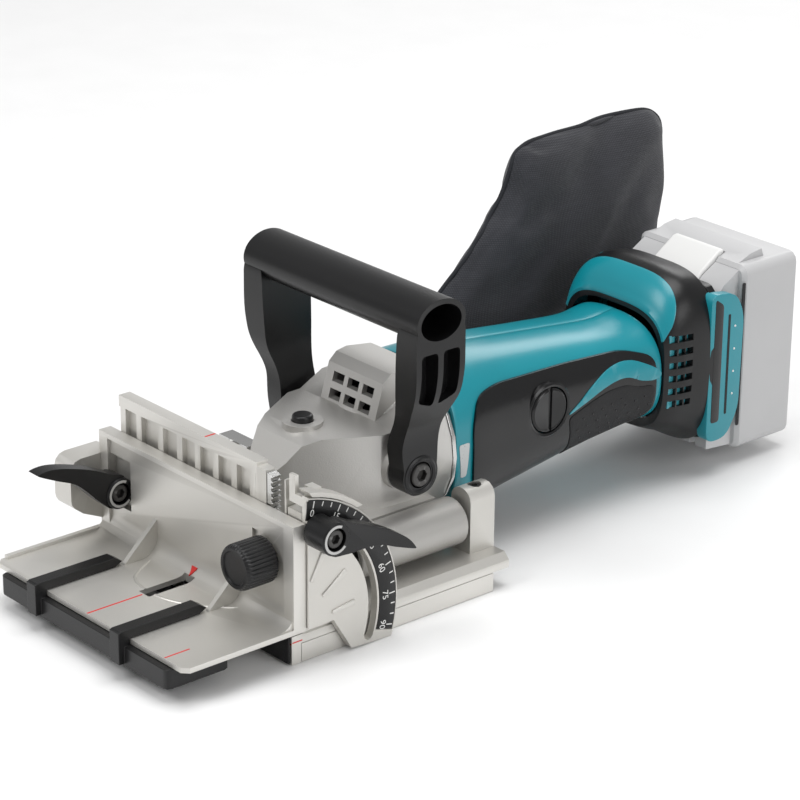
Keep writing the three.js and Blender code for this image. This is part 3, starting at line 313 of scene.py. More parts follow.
def finish_piece(obj, body, look, nodes=(), round_off=0.0, segments=3, angle=30, shade=34,
                 flat_faces=False):
    """Rounds, shades and paints a piece, and gives it its nodes and body. round_off is in mm."""
    if round_off:
        bevel = obj.modifiers.new("edges", "BEVEL")
        bevel.width = round_off / 1000
        bevel.segments = segments
        bevel.limit_method = "ANGLE"
        bevel.angle_limit = math.radians(angle)
        bake(obj)
    smooth(obj, shade)
    if flat_faces:
        normals = obj.modifiers.new("normals", "WEIGHTED_NORMAL")
        normals.keep_sharp = True
        normals.weight = 90
        bake(obj)
    paint(obj, look)
    if nodes:
        COVERED.update(nodes)
        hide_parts(*nodes)
    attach(obj, body)
    return obj


def refined(node, round_off=0.5, look=None, segments=3, angle=28, shade=34):
    """A CAD piece with its flat faces merged and its edges rounded."""
    source = frame["nodes"][node]
    bm = bmesh.new()
    bm.from_mesh(source.data)
    bmesh.ops.remove_doubles(bm, verts=bm.verts, dist=1e-6)
    bmesh.ops.dissolve_limit(bm, angle_limit=math.radians(1.2), verts=bm.verts, edges=bm.edges)
    obj = new_object(node + "_detail", bm)
    return finish_piece(obj, BODY_OF[node], look or SLOTS[node], (node,), round_off, segments,
                        angle, shade,
                        True)


def add_prism(bm, points_yz, x0, x1):
    """Adds a closed prism along X from an outline in y and z."""
    low = [bm.verts.new(point(x0, y, z)) for y, z in points_yz]
    high = [bm.verts.new(point(x1, y, z)) for y, z in points_yz]
    count = len(points_yz)
    faces = [bm.faces.new(low[::-1]), bm.faces.new(high)]
    for i in range(count):
        j = (i + 1) % count
        faces.append(bm.faces.new((low[i], low[j], high[j], high[i])))
    bmesh.ops.recalc_face_normals(bm, faces=faces)


def add_box(bm, x0, x1, y0, y1, z0, z1):
    add_prism(bm, [(y0, z0), (y1, z0), (y1, z1), (y0, z1)], x0, x1)


def join_rings(bm, rings, capped=True):
    """Faces between neighbouring rings of vertices, and a cap on each end."""
    for near, far in zip(rings, rings[1:]):
        for i in range(len(near)):
            j = (i + 1) % len(near)
            bm.faces.new((near[i], near[j], far[j], far[i]))
    if capped:
        bm.faces.new(rings[0][::-1])
        bm.faces.new(rings[-1])


def add_turned(bm, profile, axis, centre, steps=64):
    """Adds a turned solid from (radius, along) pairs, capped unless the profile ends where it starts."""
    a, b = centre
    rings = []
    for radius, along in profile:
        ring = []
        for i in range(steps):
            t = 2 * math.pi * i / steps
            u, v = a + radius * math.cos(t), b + radius * math.sin(t)
            co = {"x": (along, u, v), "y": (u, along, v), "z": (u, v, along)}[axis]
            ring.append(bm.verts.new(point(*co)))
        rings.append(ring)
    closed = profile[0] == profile[-1]
    join_rings(bm, rings, not closed)
    if closed:
        bmesh.ops.remove_doubles(bm, verts=rings[0] + rings[-1], dist=1e-7)
    bmesh.ops.recalc_face_normals(bm, faces=bm.faces)


def turned(name, profile, axis, centre, steps=64):
    bm = bmesh.new()
    add_turned(bm, profile, axis, centre, steps)
    return new_object(name, bm)


def span(side, near, far):
    """Limits along X, in rising order, of something on one side."""
    return sorted((side * near, side * far))


def mirrored(side, profile):
    return [(radius, side * along) for radius, along in profile]


def clamp(value, low=0.0, high=1.0):
    return max(low, min(high, value))


def arc_points(y, z, radius, start, end, steps):
    turns = [math.radians(start + (end - start) * i / steps) for i in range(steps + 1)]
    return [(y + radius * math.cos(a), z + radius * math.sin(a)) for a in turns]


def carve(obj, cutters, operation="DIFFERENCE"):
    """Exact boolean with each cutter in turn. The cutters are then removed."""
    for cutter in cutters:
        mod = obj.modifiers.new("cut", "BOOLEAN")
        mod.operation = operation
        mod.solver = "EXACT"
        mod.object = cutter
    bake(obj)
    for cutter in cutters:
        bpy.data.objects.remove(cutter)


def prism(name, points_yz, x0, x1):
    bm = bmesh.new()
    add_prism(bm, points_yz, x0, x1)
    return new_object(name, bm)


def box(name, *limits):
    bm = bmesh.new()
    add_box(bm, *limits)
    return new_object(name, bm)


# ---------------------------------------------------------------- lofted bodies

def section_at(sections, y):
    """Smoothly interpolated half width, low and high of a loft."""
    if y <= sections[0][0]:
        return sections[0][1:]
    if y >= sections[-1][0]:
        return sections[-1][1:]
    k = max(i for i in range(len(sections) - 1) if sections[i][0] <= y)
    p0, p1 = sections[max(k - 1, 0)], sections[k]
    p2, p3 = sections[k + 1], sections[min(k + 2, len(sections) - 1)]
    t = (y - p1[0]) / (p2[0] - p1[0])
    out = []
    for c in (1, 2, 3):
        m1 = (p2[c] - p0[c]) / max(p2[0] - p0[0], 1e-6) * (p2[0] - p1[0])
        m2 = (p3[c] - p1[c]) / max(p3[0] - p1[0], 1e-6) * (p2[0] - p1[0])
        h = (2 * t**3 - 3 * t**2 + 1, t**3 - 2 * t**2 + t, -2 * t**3 + 3 * t**2, t**3 - t**2)
        out.append(h[0] * p1[c] + h[1] * m1 + h[2] * p2[c] + h[3] * m2)
    return out


def ring_point(sections, y, angle, grow=0.0, power=BODY_POWER):
    half, low, high = section_at(sections, y)
    c, s = math.cos(angle), math.sin(angle)
    mid, tall = (low + high) / 2, (high - low) / 2
    x = (half + grow) * math.copysign(abs(c) ** (2 / power), c)
    z = mid + (tall + grow) * math.copysign(abs(s) ** (2 / power), s)
    return x, z


def side_x(sections, y, z, grow=0.0, power=BODY_POWER):
    """Half width of the loft at a height."""
    half, low, high = section_at(sections, y)
    mid, tall = (low + high) / 2, (high - low) / 2 + grow
    rest = max(0.0, 1 - min(1.0, abs(z - mid) / tall) ** power)
    return (half + grow) * rest ** (1 / power)


def loft(name, sections, y0, y1, length_steps, grow=0.0, power=BODY_POWER, around=96, wall=3.0, side=0):
    """Open-ended shell. side 1 or -1 keeps only that half, closed by its wall thickness."""
    bm = bmesh.new()
    start, end = (-math.pi / 2, math.pi / 2) if side else (0, 2 * math.pi)
    count = around // 2 if side else around
    outer, inner = [], []
    for k in range(length_steps + 1):
        y = y0 + (y1 - y0) * k / length_steps
        outer_ring, inner_ring = [], []
        for i in range(count + (1 if side else 0)):
            angle = start + (end - start) * i / count
            for ring, g in ((outer_ring, grow), (inner_ring, grow - wall)):
                x, z = ring_point(sections, y, angle, g, power)
                if side:
                    x = side * max(abs(x), 0.12)
                ring.append(bm.verts.new(point(x, y, z)))
        outer.append(outer_ring)
        inner.append(inner_ring)
    width = len(outer[0])
    spans = width - 1 if side else width
    for k in range(length_steps):
        for i in range(spans):
            j = (i + 1) % width
            bm.faces.new((outer[k][i], outer[k][j], outer[k + 1][j], outer[k + 1][i]))
            bm.faces.new((inner[k][j], inner[k][i], inner[k + 1][i], inner[k + 1][j]))
        if side:
            for i in (0, width - 1):
                bm.faces.new((outer[k][i], outer[k + 1][i], inner[k + 1][i], inner[k][i]))
    for k in (0, length_steps):
        for i in range(spans):
            j = (i + 1) % width
            bm.faces.new((outer[k][i], outer[k][j], inner[k][j], inner[k][i]))
    return outward(name, bm)


def smooth_outline(points, per_edge=6, closed=True):
    """Catmull-Rom curve through the points."""
    out = []
    n = len(points)
    for i in range(n if closed else n - 1):
        p = [points[(i + k - 1) % n] if closed else points[min(max(i + k - 1, 0), n - 1)] for k in range(4)]
        for s in range(per_edge):
            t = s / per_edge
            out.append(tuple(0.5 * (2 * p[1][c] + (p[2][c] - p[0][c]) * t
                                    + (2 * p[0][c] - 5 * p[1][c] + 4 * p[2][c] - p[3][c]) * t**2
                                    + (3 * p[1][c] - p[0][c] - 3 * p[2][c] + p[3][c]) * t**3) for c in (0,
                                                                                                        1)))
    return out


def rounded(points, radius, steps=5):
    """Outline with each corner rounded."""
    out = []
    n = len(points)
    for i in range(n):
        here = Vector(points[i])
        before, after = Vector(points[i - 1]), Vector(points[(i + 1) % n])
        a, b = (before - here), (after - here)
        r = min(radius, a.length * 0.45, b.length * 0.45)
        start, end = here + a.normalized() * r, here + b.normalized() * r
        for s in range(steps + 1):
            t = s / steps
            out.append(tuple((1 - t) ** 2 * start + 2 * t * (1 - t) * here + t**2 * end))
    return out


def skin_patch(name, outline, side, sections=BODY, lift=1.5, sink=0.2, step=3.0, holes=(), power=BODY_POWER):
    """A panel that follows the flank of a loft inside a y-z outline, lifted off it."""
    bm = bmesh.new()
    loop = [bm.verts.new((0, y, z)) for y, z in outline]
    edges = [bm.edges.new((loop[i], loop[(i + 1) % len(loop)])) for i in range(len(loop))]
    for hole in holes:
        ring = [bm.verts.new((0, y, z)) for y, z in hole]
        edges += [bm.edges.new((ring[i], ring[(i + 1) % len(ring)])) for i in range(len(ring))]
    bmesh.ops.triangle_fill(bm, edges=edges, use_beauty=True)
    lows = [min(v.co[c] for v in bm.verts) for c in (1, 2)]
    highs = [max(v.co[c] for v in bm.verts) for c in (1, 2)]
    for c, axis in ((0, (0, 1, 0)), (1, (0, 0, 1))):
        at = lows[c] + step
        while at < highs[c]:
            co = (0, at, 0) if c == 0 else (0, 0, at)
            bmesh.ops.bisect_plane(bm, geom=bm.verts[:] + bm.edges[:] + bm.faces[:], plane_co=co,
                                   plane_no=axis)
            at += step
    for v in bm.verts:
        _, y, z = v.co
        v.co.x = side_x(sections, y, z, lift, power)
    made = bmesh.ops.extrude_face_region(bm, geom=bm.faces[:])
    for v in (g for g in made["geom"] if isinstance(g, bmesh.types.BMVert)):
        v.co.x = side_x(sections, v.co.y, v.co.z, sink, power)
    for v in bm.verts:
        v.co = point(side * v.co.x, v.co.y, v.co.z)
    return outward(name, bm)


def circle(y, z, radius, steps=40):
    return [(y + radius * math.cos(2 * math.pi * i / steps), z + radius * math.sin(2 * math.pi * i / steps))
            for i in range(steps)]


# ---------------------------------------------------------------- motor housing

PANEL = rounded([(134.8, 46), (134.4, 69), (140, 81.6), (154, 84), (200, 81.6), (240, 78.6), (257.5, 73),
                 (258, 44), (252, 38.5), (228, 33.5), (196, 27), (166, 21.5), (146, 20), (138.5, 30)], 6)
WING = smooth_outline([(199, 57.6), (206, 62), (214, 67.5), (224, 72.4), (234, 74.4), (243, 73.6),
                       (251, 70.4),
                       (258, 66.4), (260.4, 63), (256, 61.2), (248, 62.6), (240, 66), (232, 66.6),
                       (222, 64.6),
                       (211, 61)], 4)

RUBBER = rounded([(199, 55.4), (214, 60), (226, 62.6), (238, 62.6), (247, 59.4), (256.5, 58.4), (256.5, 44.6),
                  (250, 40), (228, 35), (205, 30.4)], 3)


def flank_patch(name, outline, side, lift, sink=0.2, holes=()):
    """Skin patch on the motor housing, with the switch window cut out of the left one."""
    patch = skin_patch(name, outline, side, lift=lift, sink=sink, holes=holes)
    if side < 0:
        carve(patch, [box("window", *SWITCH_WINDOW)])
    return patch


def motor_housing():
    seat = CAP[2] + 0.5
    for side, name in ((1, "right"), (-1, "left")):
        shell = loft(f"housing_shell_{name}", BODY, 124.4, 261.9, 60, side=side)
        low, high = span(side, 20, 60)
        carve(shell, [turned("seat", [(0, low), (seat, low), (seat, high), (0, high)], "x", CAP[:2], 48)])
        if side < 0:
            carve(shell, [box("window", -50, -24, 203, 235, 58, 70)])
        finish_piece(shell, "motor_unit", "teal_plastic", (f"housing_{name}",), 0.3, 2, 50)
        panel = flank_patch(f"side_panel_{name}", PANEL, side, 1.3, holes=[circle(*CAP[:2], CAP[2] + 1.5)])
        finish_piece(panel, "motor_unit", "gloss_black", (f"grip_{name}",), 0.5, 3, 60)
        wing = flank_patch(f"panel_wing_{name}", WING, side, 1.75, 1.0)
        finish_piece(wing, "motor_unit", "teal_plastic", (), 0.3 if side > 0 else 0, 2, 60)
        pad = flank_patch(f"rubber_pad_{name}", RUBBER, side, 1.6, 1.0)
        finish_piece(pad, "motor_unit", "soft_grip", (), 0.25, 2, 60)
        grip_dots(side, name)
        brush_cap(side, name)
    housing_seam()


def grip_dots(side, name):
    dots = bmesh.new()
    for row in range(5):
        for col in range(8):
            y, z = 206 + col * 6.4 + (row % 2) * 3.2, 37 + row * 5.2 + col * 0.9
            if z > 57 or y > 254 or z < 33 + (y - 205) * 0.2 or (side < 0 and z > 52 and y < 240):
                continue
            x = side_x(BODY, y, z, 1.6)
            spot = bmesh.ops.create_uvsphere(dots, u_segments=12, v_segments=6, radius=0.00062)
            for v in spot["verts"]:
                v.co.x *= 0.5
                v.co += point(side * x, y, z)
    finish_piece(new_object(f"grip_dots_{name}", dots), "motor_unit", "gloss_black")


def housing_seam():
    """Thin dark line along the top, where the housing halves meet."""
    start, length, steps = 125, 136, 50
    bm = bmesh.new()
    for k in range(steps):
        y0, y1 = start + length * k / steps, start + length * (k + 1) / steps
        tops = [section_at(BODY, y)[2] for y in (y0, y1)]
        ring = [bm.verts.new(point(x, y, z - d)) for y, z in ((y0, tops[0]), (y1, tops[1]))
                for x, d in ((-0.14, 0.25), (0.14, 0.25), (0.14, 1.4), (-0.14, 1.4))]
        for a, b, c, d in ((0, 1, 5, 4), (1, 2, 6, 5), (2, 3, 7, 6), (3, 0, 4, 7)):
            bm.faces.new([ring[i] for i in (a, b, c, d)])
        if k == 0:
            bm.faces.new([ring[i] for i in (3, 2, 1, 0)])
        if k == steps - 1:
            bm.faces.new([ring[i] for i in (4, 5, 6, 7)])
    bmesh.ops.remove_doubles(bm, verts=bm.verts, dist=1e-7)
    finish_piece(outward("housing_seam", bm), "motor_unit", "dark_inside")


def brush_cap(side, name):
    y, z, r = CAP
    base = side_x(BODY, y, z)
    rise = 37.3
    cap = turned(f"cap_{name}", mirrored(side, [
        (0, 27.2), (r, 27.2), (r, rise - 1), (r - 0.5, rise - 0.3), (r - 1.3, rise), (r - 2, rise - 0.25),
        (0, rise - 0.25)]), "x", (y, z), 72)
    carve(cap, [box("slot", *span(side, rise - 1.1, 39), y - 1.2, y + 1.2, z - r - 1, z + r + 1)])
    finish_piece(cap, "motor_unit", "gloss_black", (f"brush_cap_{name}",), 0.2, 2, 50)
    ring = turned(f"cap_ring_{name}", mirrored(side, [
        (r + 0.5, base - 1), (r + 2.6, base - 1), (r + 2.6, base + 1.5), (r + 1.6, base + 2.2),
        (r + 0.5, base + 1.8), (r + 0.5, base - 1)]), "x", (y, z), 72)
    finish_piece(ring, "motor_unit", "gloss_black")


def rear_collar():
    shell = loft("collar_shell", COLLAR, 262.5, 291.8, 26, power=COLLAR_POWER, wall=3.6, around=128)
    carve(shell, [box("vent", *span(side, 28, 50), 264.8, 277.6, z, z + 3.4) for side in (1, -1)
                  for z in VENT_ROWS])
    finish_piece(shell, "motor_unit", "black_plastic", ("rear_collar",), 0.45, 3, 40)
    for side in (1, -1):
        bm = bmesh.new()
        for z in VENT_ROWS:
            add_box(bm, *span(side, 34.4, 36.4), 265, 277.4, z - 0.4, z + 3.8)
        finish_piece(new_object(f"vent_backing_{side}", bm), "motor_unit", "teal_plastic")
        bm = bmesh.new()
        for z in VENT_ROWS:
            for y in (268.2, 273.4):
                add_box(bm, *span(side, 36.5, 38.6), y, y + 1.0, z + 0.1, z + 3.3)
        finish_piece(new_object(f"vent_bars_{side}", bm), "motor_unit", "black_plastic", (), 0.15, 2)
        cheek = prism("cheek", rounded([(288.6, 20), (303, 20), (310.8, 34), (311.8, 84), (306, 96),
                                        (288.6, 99)], 6),
                      *span(side, 34.6, 41.2))
        carve(cheek, [box("seat", -35.9, 35.9, 292.1, 330, 18.7, 100.8)])
        finish_piece(cheek, "motor_unit", "teal_plastic", (), 1.1, 4, 40)
        strip = prism("strip", rounded([(291.2, 30), (297, 30), (297, 92), (291.2, 96)], 2),
                      *span(side, 40.6, 41.38))
        finish_piece(strip, "motor_unit", "gloss_black", (), 0.25, 2, 40)
        groove = bmesh.new()
        add_prism(groove, rounded([(300.6, 33), (302.2, 33), (302.2, 86), (300.6, 86)], 0.6),
                  *span(side, 41.0, 41.3))
        finish_piece(new_object("cheek_groove", groove), "motor_unit", "dark_inside")
        bm = bmesh.new()
        for z in (43, 55, 67, 79):
            spot = bmesh.ops.create_uvsphere(bm, u_segments=10, v_segments=6, radius=0.0006)
            for v in spot["verts"]:
                v.co += point(side * 41.15, 305.6, z)
        finish_piece(new_object("cheek_dots", bm), "motor_unit", "white_mark")


def housing_tongue():
    """Teal tongue of the housing that laps over the top of the collar."""
    bm = bmesh.new()
    columns, rows = 40, 10
    tops, lows = [], []
    for i in range(columns + 1):
        t = -1 + 2 * i / columns
        angle = math.pi / 2 - t * math.radians(68)
        reach = 11.5 * max(0.0, 1 - abs(t) ** 2.2) ** 0.5 + 0.4
        top_row, low_row = [], []
        for k in range(rows + 1):
            y = 262.2 + reach * k / rows
            for row, grow in ((top_row, 0.55), (low_row, -0.8)):
                x, z = ring_point(COLLAR, y, angle, grow, COLLAR_POWER)
                row.append(bm.verts.new(point(x, y, z)))
        tops.append(top_row)
        lows.append(low_row)
    for i in range(columns):
        for k in range(rows):
            bm.faces.new((tops[i][k], tops[i + 1][k], tops[i + 1][k + 1], tops[i][k + 1]))
            bm.faces.new((lows[i][k + 1], lows[i + 1][k + 1], lows[i + 1][k], lows[i][k]))
        for k in (0, rows):
            bm.faces.new((tops[i][k], tops[i + 1][k], lows[i + 1][k], lows[i][k]))
    for i in (0, columns):
        for k in range(rows):
            bm.faces.new((tops[i][k], tops[i][k + 1], lows[i][k + 1], lows[i][k]))
    finish_piece(outward("housing_tongue", bm), "motor_unit", "teal_plastic", (), 0.3, 2, 50)


# ---------------------------------------------------------------- D-handle

def d_handle():
    y, z, half = HANDLE["y"], HANDLE["z"], HANDLE["half"]
    depth, height, boss_z = HANDLE["depth"], HANDLE["height"], HANDLE["boss_z"]
    boss_in, boss_out = HANDLE["boss_in"], HANDLE["boss_out"]

    def oval(trim, steps=56):
        return [(y + (depth - trim) * math.cos(2 * math.pi * i / steps),
                 z + (height - trim) * math.sin(2 * math.pi * i / steps)) for i in range(steps)]

    bar = prism("handle_bar", oval(0), -half, half)
    side_view = rounded([(y - depth, z), (y + depth, z), (y + 14.6, 118), (y + 14, 98), (y + 10.6, 86),
                         (y + 10, 66)]
                        + arc_points(y, boss_z, 10.4, 20, -200, 14)
                        + [(y - 11.5, 74), (y - 10, 86), (y - 13.6, 98), (y - 14.5, 118)], 6, 4)
    legs = []
    for side in (1, -1):
        leg = prism("leg", side_view, *span(side, 20, 90))
        outline = rounded([(boss_in, boss_z - 12), (boss_in, 77), (46.5, 97), (48.5, z - 4), (56, z + 9),
                           (half, z + 6),
                           (half, 112), (half - 2, 101), (50.6, 84), (boss_out, 76),
                           (boss_out, boss_z - 12)], 5, 4)
        bm = bmesh.new()
        front = [bm.verts.new(point(side * a, y - 30, b)) for a, b in outline]
        back = [bm.verts.new(point(side * a, y + 30, b)) for a, b in outline]
        bm.faces.new(front)
        bm.faces.new(back[::-1])
        for i in range(len(outline)):
            j = (i + 1) % len(outline)
            bm.faces.new((front[i], front[j], back[j], back[i]))
        carve(leg, [outward("front", bm)], "INTERSECT")
        legs.append(leg)
    carve(bar, legs, "UNION")
    cutters = []
    for side in (1, -1):
        cutters.append(prism("hollow", oval(2.5), *span(side, 40, 70)))
        for pocket in ([(y - 11.3, 101), (y - 1.6, 97), (y - 1.6, 124), (y - 11.3, 124)],
                       [(y + 1.6, 97), (y + 11.3, 101), (y + 11.3, 124), (y + 1.6, 124)]):
            cutters.append(prism("pocket", rounded(pocket, 2.4), *span(side, 53.5, 70)))
        cutters.append(turned("bolt", mirrored(side, [(0, 44.9), (6.4, 44.9), (6.4, 70), (0, 70)]), "x",
                              (y, boss_z), 48))
    carve(bar, cutters)
    finish_piece(bar, "motor_unit", "black_plastic", ("d_handle",), 1.1, 4, 26, 40, True)
    for side, name in ((1, "right"), (-1, "left")):
        bolt = turned(f"bolt_{name}", mirrored(side, [(0, 31), (3, 31), (3, 45.3), (5.7, 45.3), (5.7, 49.4),
                                                      (5.1, 50.1), (0, 50.1)]), "x", (y, boss_z), 48)
        carve(bolt, [prism("hex", circle(y, boss_z, 3.0, 6), *span(side, 47.4, 52))])
        finish_piece(bolt, "motor_unit", "dark_steel", (f"handle_bolt_{name}",), 0.25, 2, 40)
        rim = turned("boss_rim", mirrored(side, [(7.2, 48.6), (9.4, 48.6), (9.4, 49.3), (8.3, 49.8),
                                                 (7.2, 49.3),
                                                 (7.2, 48.6)]), "x", (y, boss_z), 64)
        finish_piece(rim, "motor_unit", "black_plastic")


# ---------------------------------------------------------------- knob, levers, scale

def height_knob():
    x, z, r, rear = KNOB
    bm = bmesh.new()
    steps, flutes = 360, 36
    rings = []
    for along, scale, flute in ((rear - 0.1, 0.985, 0.0), (rear - 0.9, 1, 0.4), (rear - 1.6, 1, 1),
                                (-14.6, 1, 1),
                                (-15.8, 0.985, 0.7), (-16.9, 0.93, 0.2), (-17.5, 0.86, 0.0), (-17.5, 0.74, 0),
                                (-16.7, 0.7, 0), (-16.5, 0.25, 0)):
        ring = []
        for i in range(steps):
            a = 2 * math.pi * i / steps
            groove = flute * 0.6 * (0.5 + 0.5 * math.cos(flutes * a)) ** 2
            radius = r * scale - groove
            ring.append(bm.verts.new(point(x + radius * math.cos(a), along, z + radius * math.sin(a))))
        rings.append(ring)
    join_rings(bm, rings)
    finish_piece(outward("knob_grip", bm), "knob", "black_plastic")
    bm = bmesh.new()
    bm.from_mesh(frame["nodes"]["height_knob"].data)
    bmesh.ops.bisect_plane(bm, geom=bm.verts[:] + bm.edges[:] + bm.faces[:], plane_co=point(0, -0.6, 0),
                           plane_no=(0, -1, 0), clear_outer=True)
    bmesh.ops.holes_fill(bm, edges=[e for e in bm.edges if e.is_boundary])
    finish_piece(new_object("knob_shaft", bm), "knob", "steel", ("height_knob",), 0.15, 2)


LEVER_OUTLINE = [(0, 7.4), (10, 7.6), (22, 7.4), (36, 5.3), (44, 3.0), (49.4, -0.2), (48.4, -1.1), (38, -1.1),
                 (27, -0.8), (18, -3.3), (9, -6.4), (0, -7)]


def lever(node, body, centre, hub, ends, rise, way):
    """Lock lever: a turned hub with a curved tapering blade."""
    cy, cz = centre
    turn = math.radians(rise)
    x0, x1 = ends

    def place(along, up):
        a = along * way
        return (cy + a * math.cos(turn) - up * math.sin(turn) * way,
                cz + a * math.sin(turn) * way + up * math.cos(turn))

    blade = prism(node + "_detail", [place(*p) for p in smooth_outline(LEVER_OUTLINE, 5)], x1 - 8.5, x1 - 1.2)
    boss = turned("hub", [(0, x0), (hub, x0), (hub, x1 - 0.7), (hub - 0.5, x1 - 0.15), (0, x1 - 0.15)], "x",
                  centre, 64)
    carve(blade, [boss], "UNION")
    carve(blade, [turned("bore", [(0, x1 - 5.6), (5.2, x1 - 5.6), (5.2, x1 + 3), (0, x1 + 3)], "x", centre,
                         48)])
    if node == "angle_lever":
        carve(blade, [turned("bore", [(0, x0 - 3), (2.6, x0 - 3), (2.6, x1), (0, x1)], "x", centre, 32)])
    return finish_piece(blade, body, "black_plastic", (node,), 0.9, 4, 24, 40, True)


def levers():
    for name, body, screw_body, lock, rise, way, screw_start in (
            ("angle", "guide_lever", "base", ANGLE_LOCK, -20, 1, 59.4),
            ("height", "fence_lever", "fence", HEIGHT_LOCK, 26, -1, -80)):
        y, z, hub, x0, x1 = lock
        lever(f"{name}_lever", body, (y, z), hub, (x0, x1), rise, way)
        socket_screw(f"{name}_screw_head", f"{name}_lock_screw", screw_body, (y, z), x1 - 5.3, x1 - 0.9,
                     screw_start)
        bm = bmesh.new()
        add_prism(bm, arc_points(y, z, 6.7, 62, 318, 30) + arc_points(y, z, 5.5, 318, 62, 30), x1 - 0.3,
                  x1 - 0.02)
        finish_piece(new_object(f"{name}_ring", bm), body, "ring_metal")


def socket_screw(name, node, body, centre, x0, x1, start):
    head = turned(name, [(0, start), (2.1, start), (2.1, x0), (4.4, x0), (4.4, x1 - 0.5), (3.9, x1),
                         (0, x1)], "x",
                  centre, 40)
    carve(head, [prism("hex", circle(*centre, 2.4, 6), x1 - 2.6, x1 + 1)])
    finish_piece(head, body, "dark_steel", (node,), 0.15, 2, 40)


def about_tilt(radius, degrees):
    a = math.radians(degrees)
    return TILT[0] + radius * math.cos(a), TILT[1] + radius * math.sin(a)


def angle_scale():
    outer, inner = 61.0, 51.6
    bm = bmesh.new()
    add_prism(bm, arc_points(*TILT, outer, 79.5, -15.5, 60) + arc_points(*TILT, inner, -15.5, 79.5, 60),
              72.65, 73.32)
    finish_piece(new_object("scale_band_detail", bm), "angle_guide", "black_plastic",
                 ("scale_band",),
                 0.1, 2)
    zero = 76.5
    bm = bmesh.new()
    for k in range(19):
        a = zero - 5 * k
        long = k % 3 == 0
        reach = 3.3 if long else 2.2
        width = math.degrees(0.28 / outer)
        add_prism(bm, [about_tilt(outer - 0.4, a - width), about_tilt(outer - 0.4, a + width),
                       about_tilt(outer - 0.4 - reach, a + width), about_tilt(outer - 0.4 - reach,
                                                                              a - width)],
                  73.25, 73.38)
    finish_piece(new_object("scale_ticks", bm), "angle_guide", "white_mark")
    for value in (0, 15, 30, 45, 60, 75, 90):
        curve = bpy.data.curves.new(f"numeral_{value}", "FONT")
        curve.body = str(value)
        curve.size = 0.0046
        curve.align_x = "CENTER"
        curve.align_y = "CENTER"
        curve.extrude = 0.00006
        mesh = curve_mesh(f"numeral_{value}", curve)
        a = math.radians(zero - value)
        up = Vector((0, math.cos(a), math.sin(a)))
        right = Vector((0, math.sin(a), -math.cos(a)))
        y, z = about_tilt(54.9, zero - value)
        place = Matrix((right, up, Vector((1, 0, 0)))).transposed().to_4x4()
        place.translation = point(73.33, y, z)
        mesh.transform(place)
        finish_piece(add_object(f"numeral_{value}", mesh), "angle_guide", "white_mark")


# ---------------------------------------------------------------- battery, marks, castings

def battery():
    refined("battery", 1.6, segments=4, angle=32)
    bm = bmesh.new()
    for side in (1, -1):
        add_prism(bm, rounded([(314, 22), (316, 22), (316, 98), (314, 98)], 0.8), *span(side, 36.9, 37.35))
    finish_piece(new_object("battery_seam", bm), "battery_pack", "dark_inside")
    refined("battery_button", 1.4, segments=4)


def red_marks():
    def mark(name, body, *limits):
        finish_piece(box(name, *limits), body, "red_mark")
    mark("fence_centre_line", "fence", -0.45, 0.45, -59.8, -29.5, 18.9, 19.06)
    bm = bmesh.new()
    steps = 6
    rows = []
    for k in range(steps + 1):
        a = math.radians(-62 + 34 * k / steps)
        half = 2.0 * k / steps
        for radius in (8.96, 8.5):
            y, z = -7.4 + radius * math.cos(a), 28 + radius * math.sin(a)
            rows.append([bm.verts.new(point(x, y, z)) for x in (-half - 0.02, half + 0.02)])
    for k in range(steps):
        a, b, c, d = rows[2 * k], rows[2 * k + 1], rows[2 * k + 2], rows[2 * k + 3]
        for quad in ((a[0], a[1], c[1], c[0]), (b[1], b[0], d[0], d[1]), (a[0], c[0], d[0], b[0]),
                     (a[1], b[1], d[1], c[1])):
            bm.faces.new(quad)
    bm.faces.new((rows[0][0], rows[1][0], rows[1][1], rows[0][1]))
    bm.faces.new((rows[-2][0], rows[-2][1], rows[-1][1], rows[-1][0]))
    finish_piece(outward("fence_triangle", bm), "fence", "red_mark")
    finish_piece(prism("scale_triangle", [(7.4, 66.4), (7.4, 69.6), (10.2, 68)], 73.3, 73.46), "angle_guide",
                 "red_mark")
    mark("arm_mark", "fence", 56.6, 57.4, -59.5, -46, 18.9, 19.06)
    mark("guide_top_mark", "angle_guide", -0.5, 0.5, 7.4, 13.2, 85.95, 86.06)
    mark("base_front_mark", "base", 59, 68.3, 1.36, 1.48, 9.9, 10.5)
    mark("base_side_mark", "base", 68.5, 68.68, 1.8, 7.4, 10.6, 11.2)


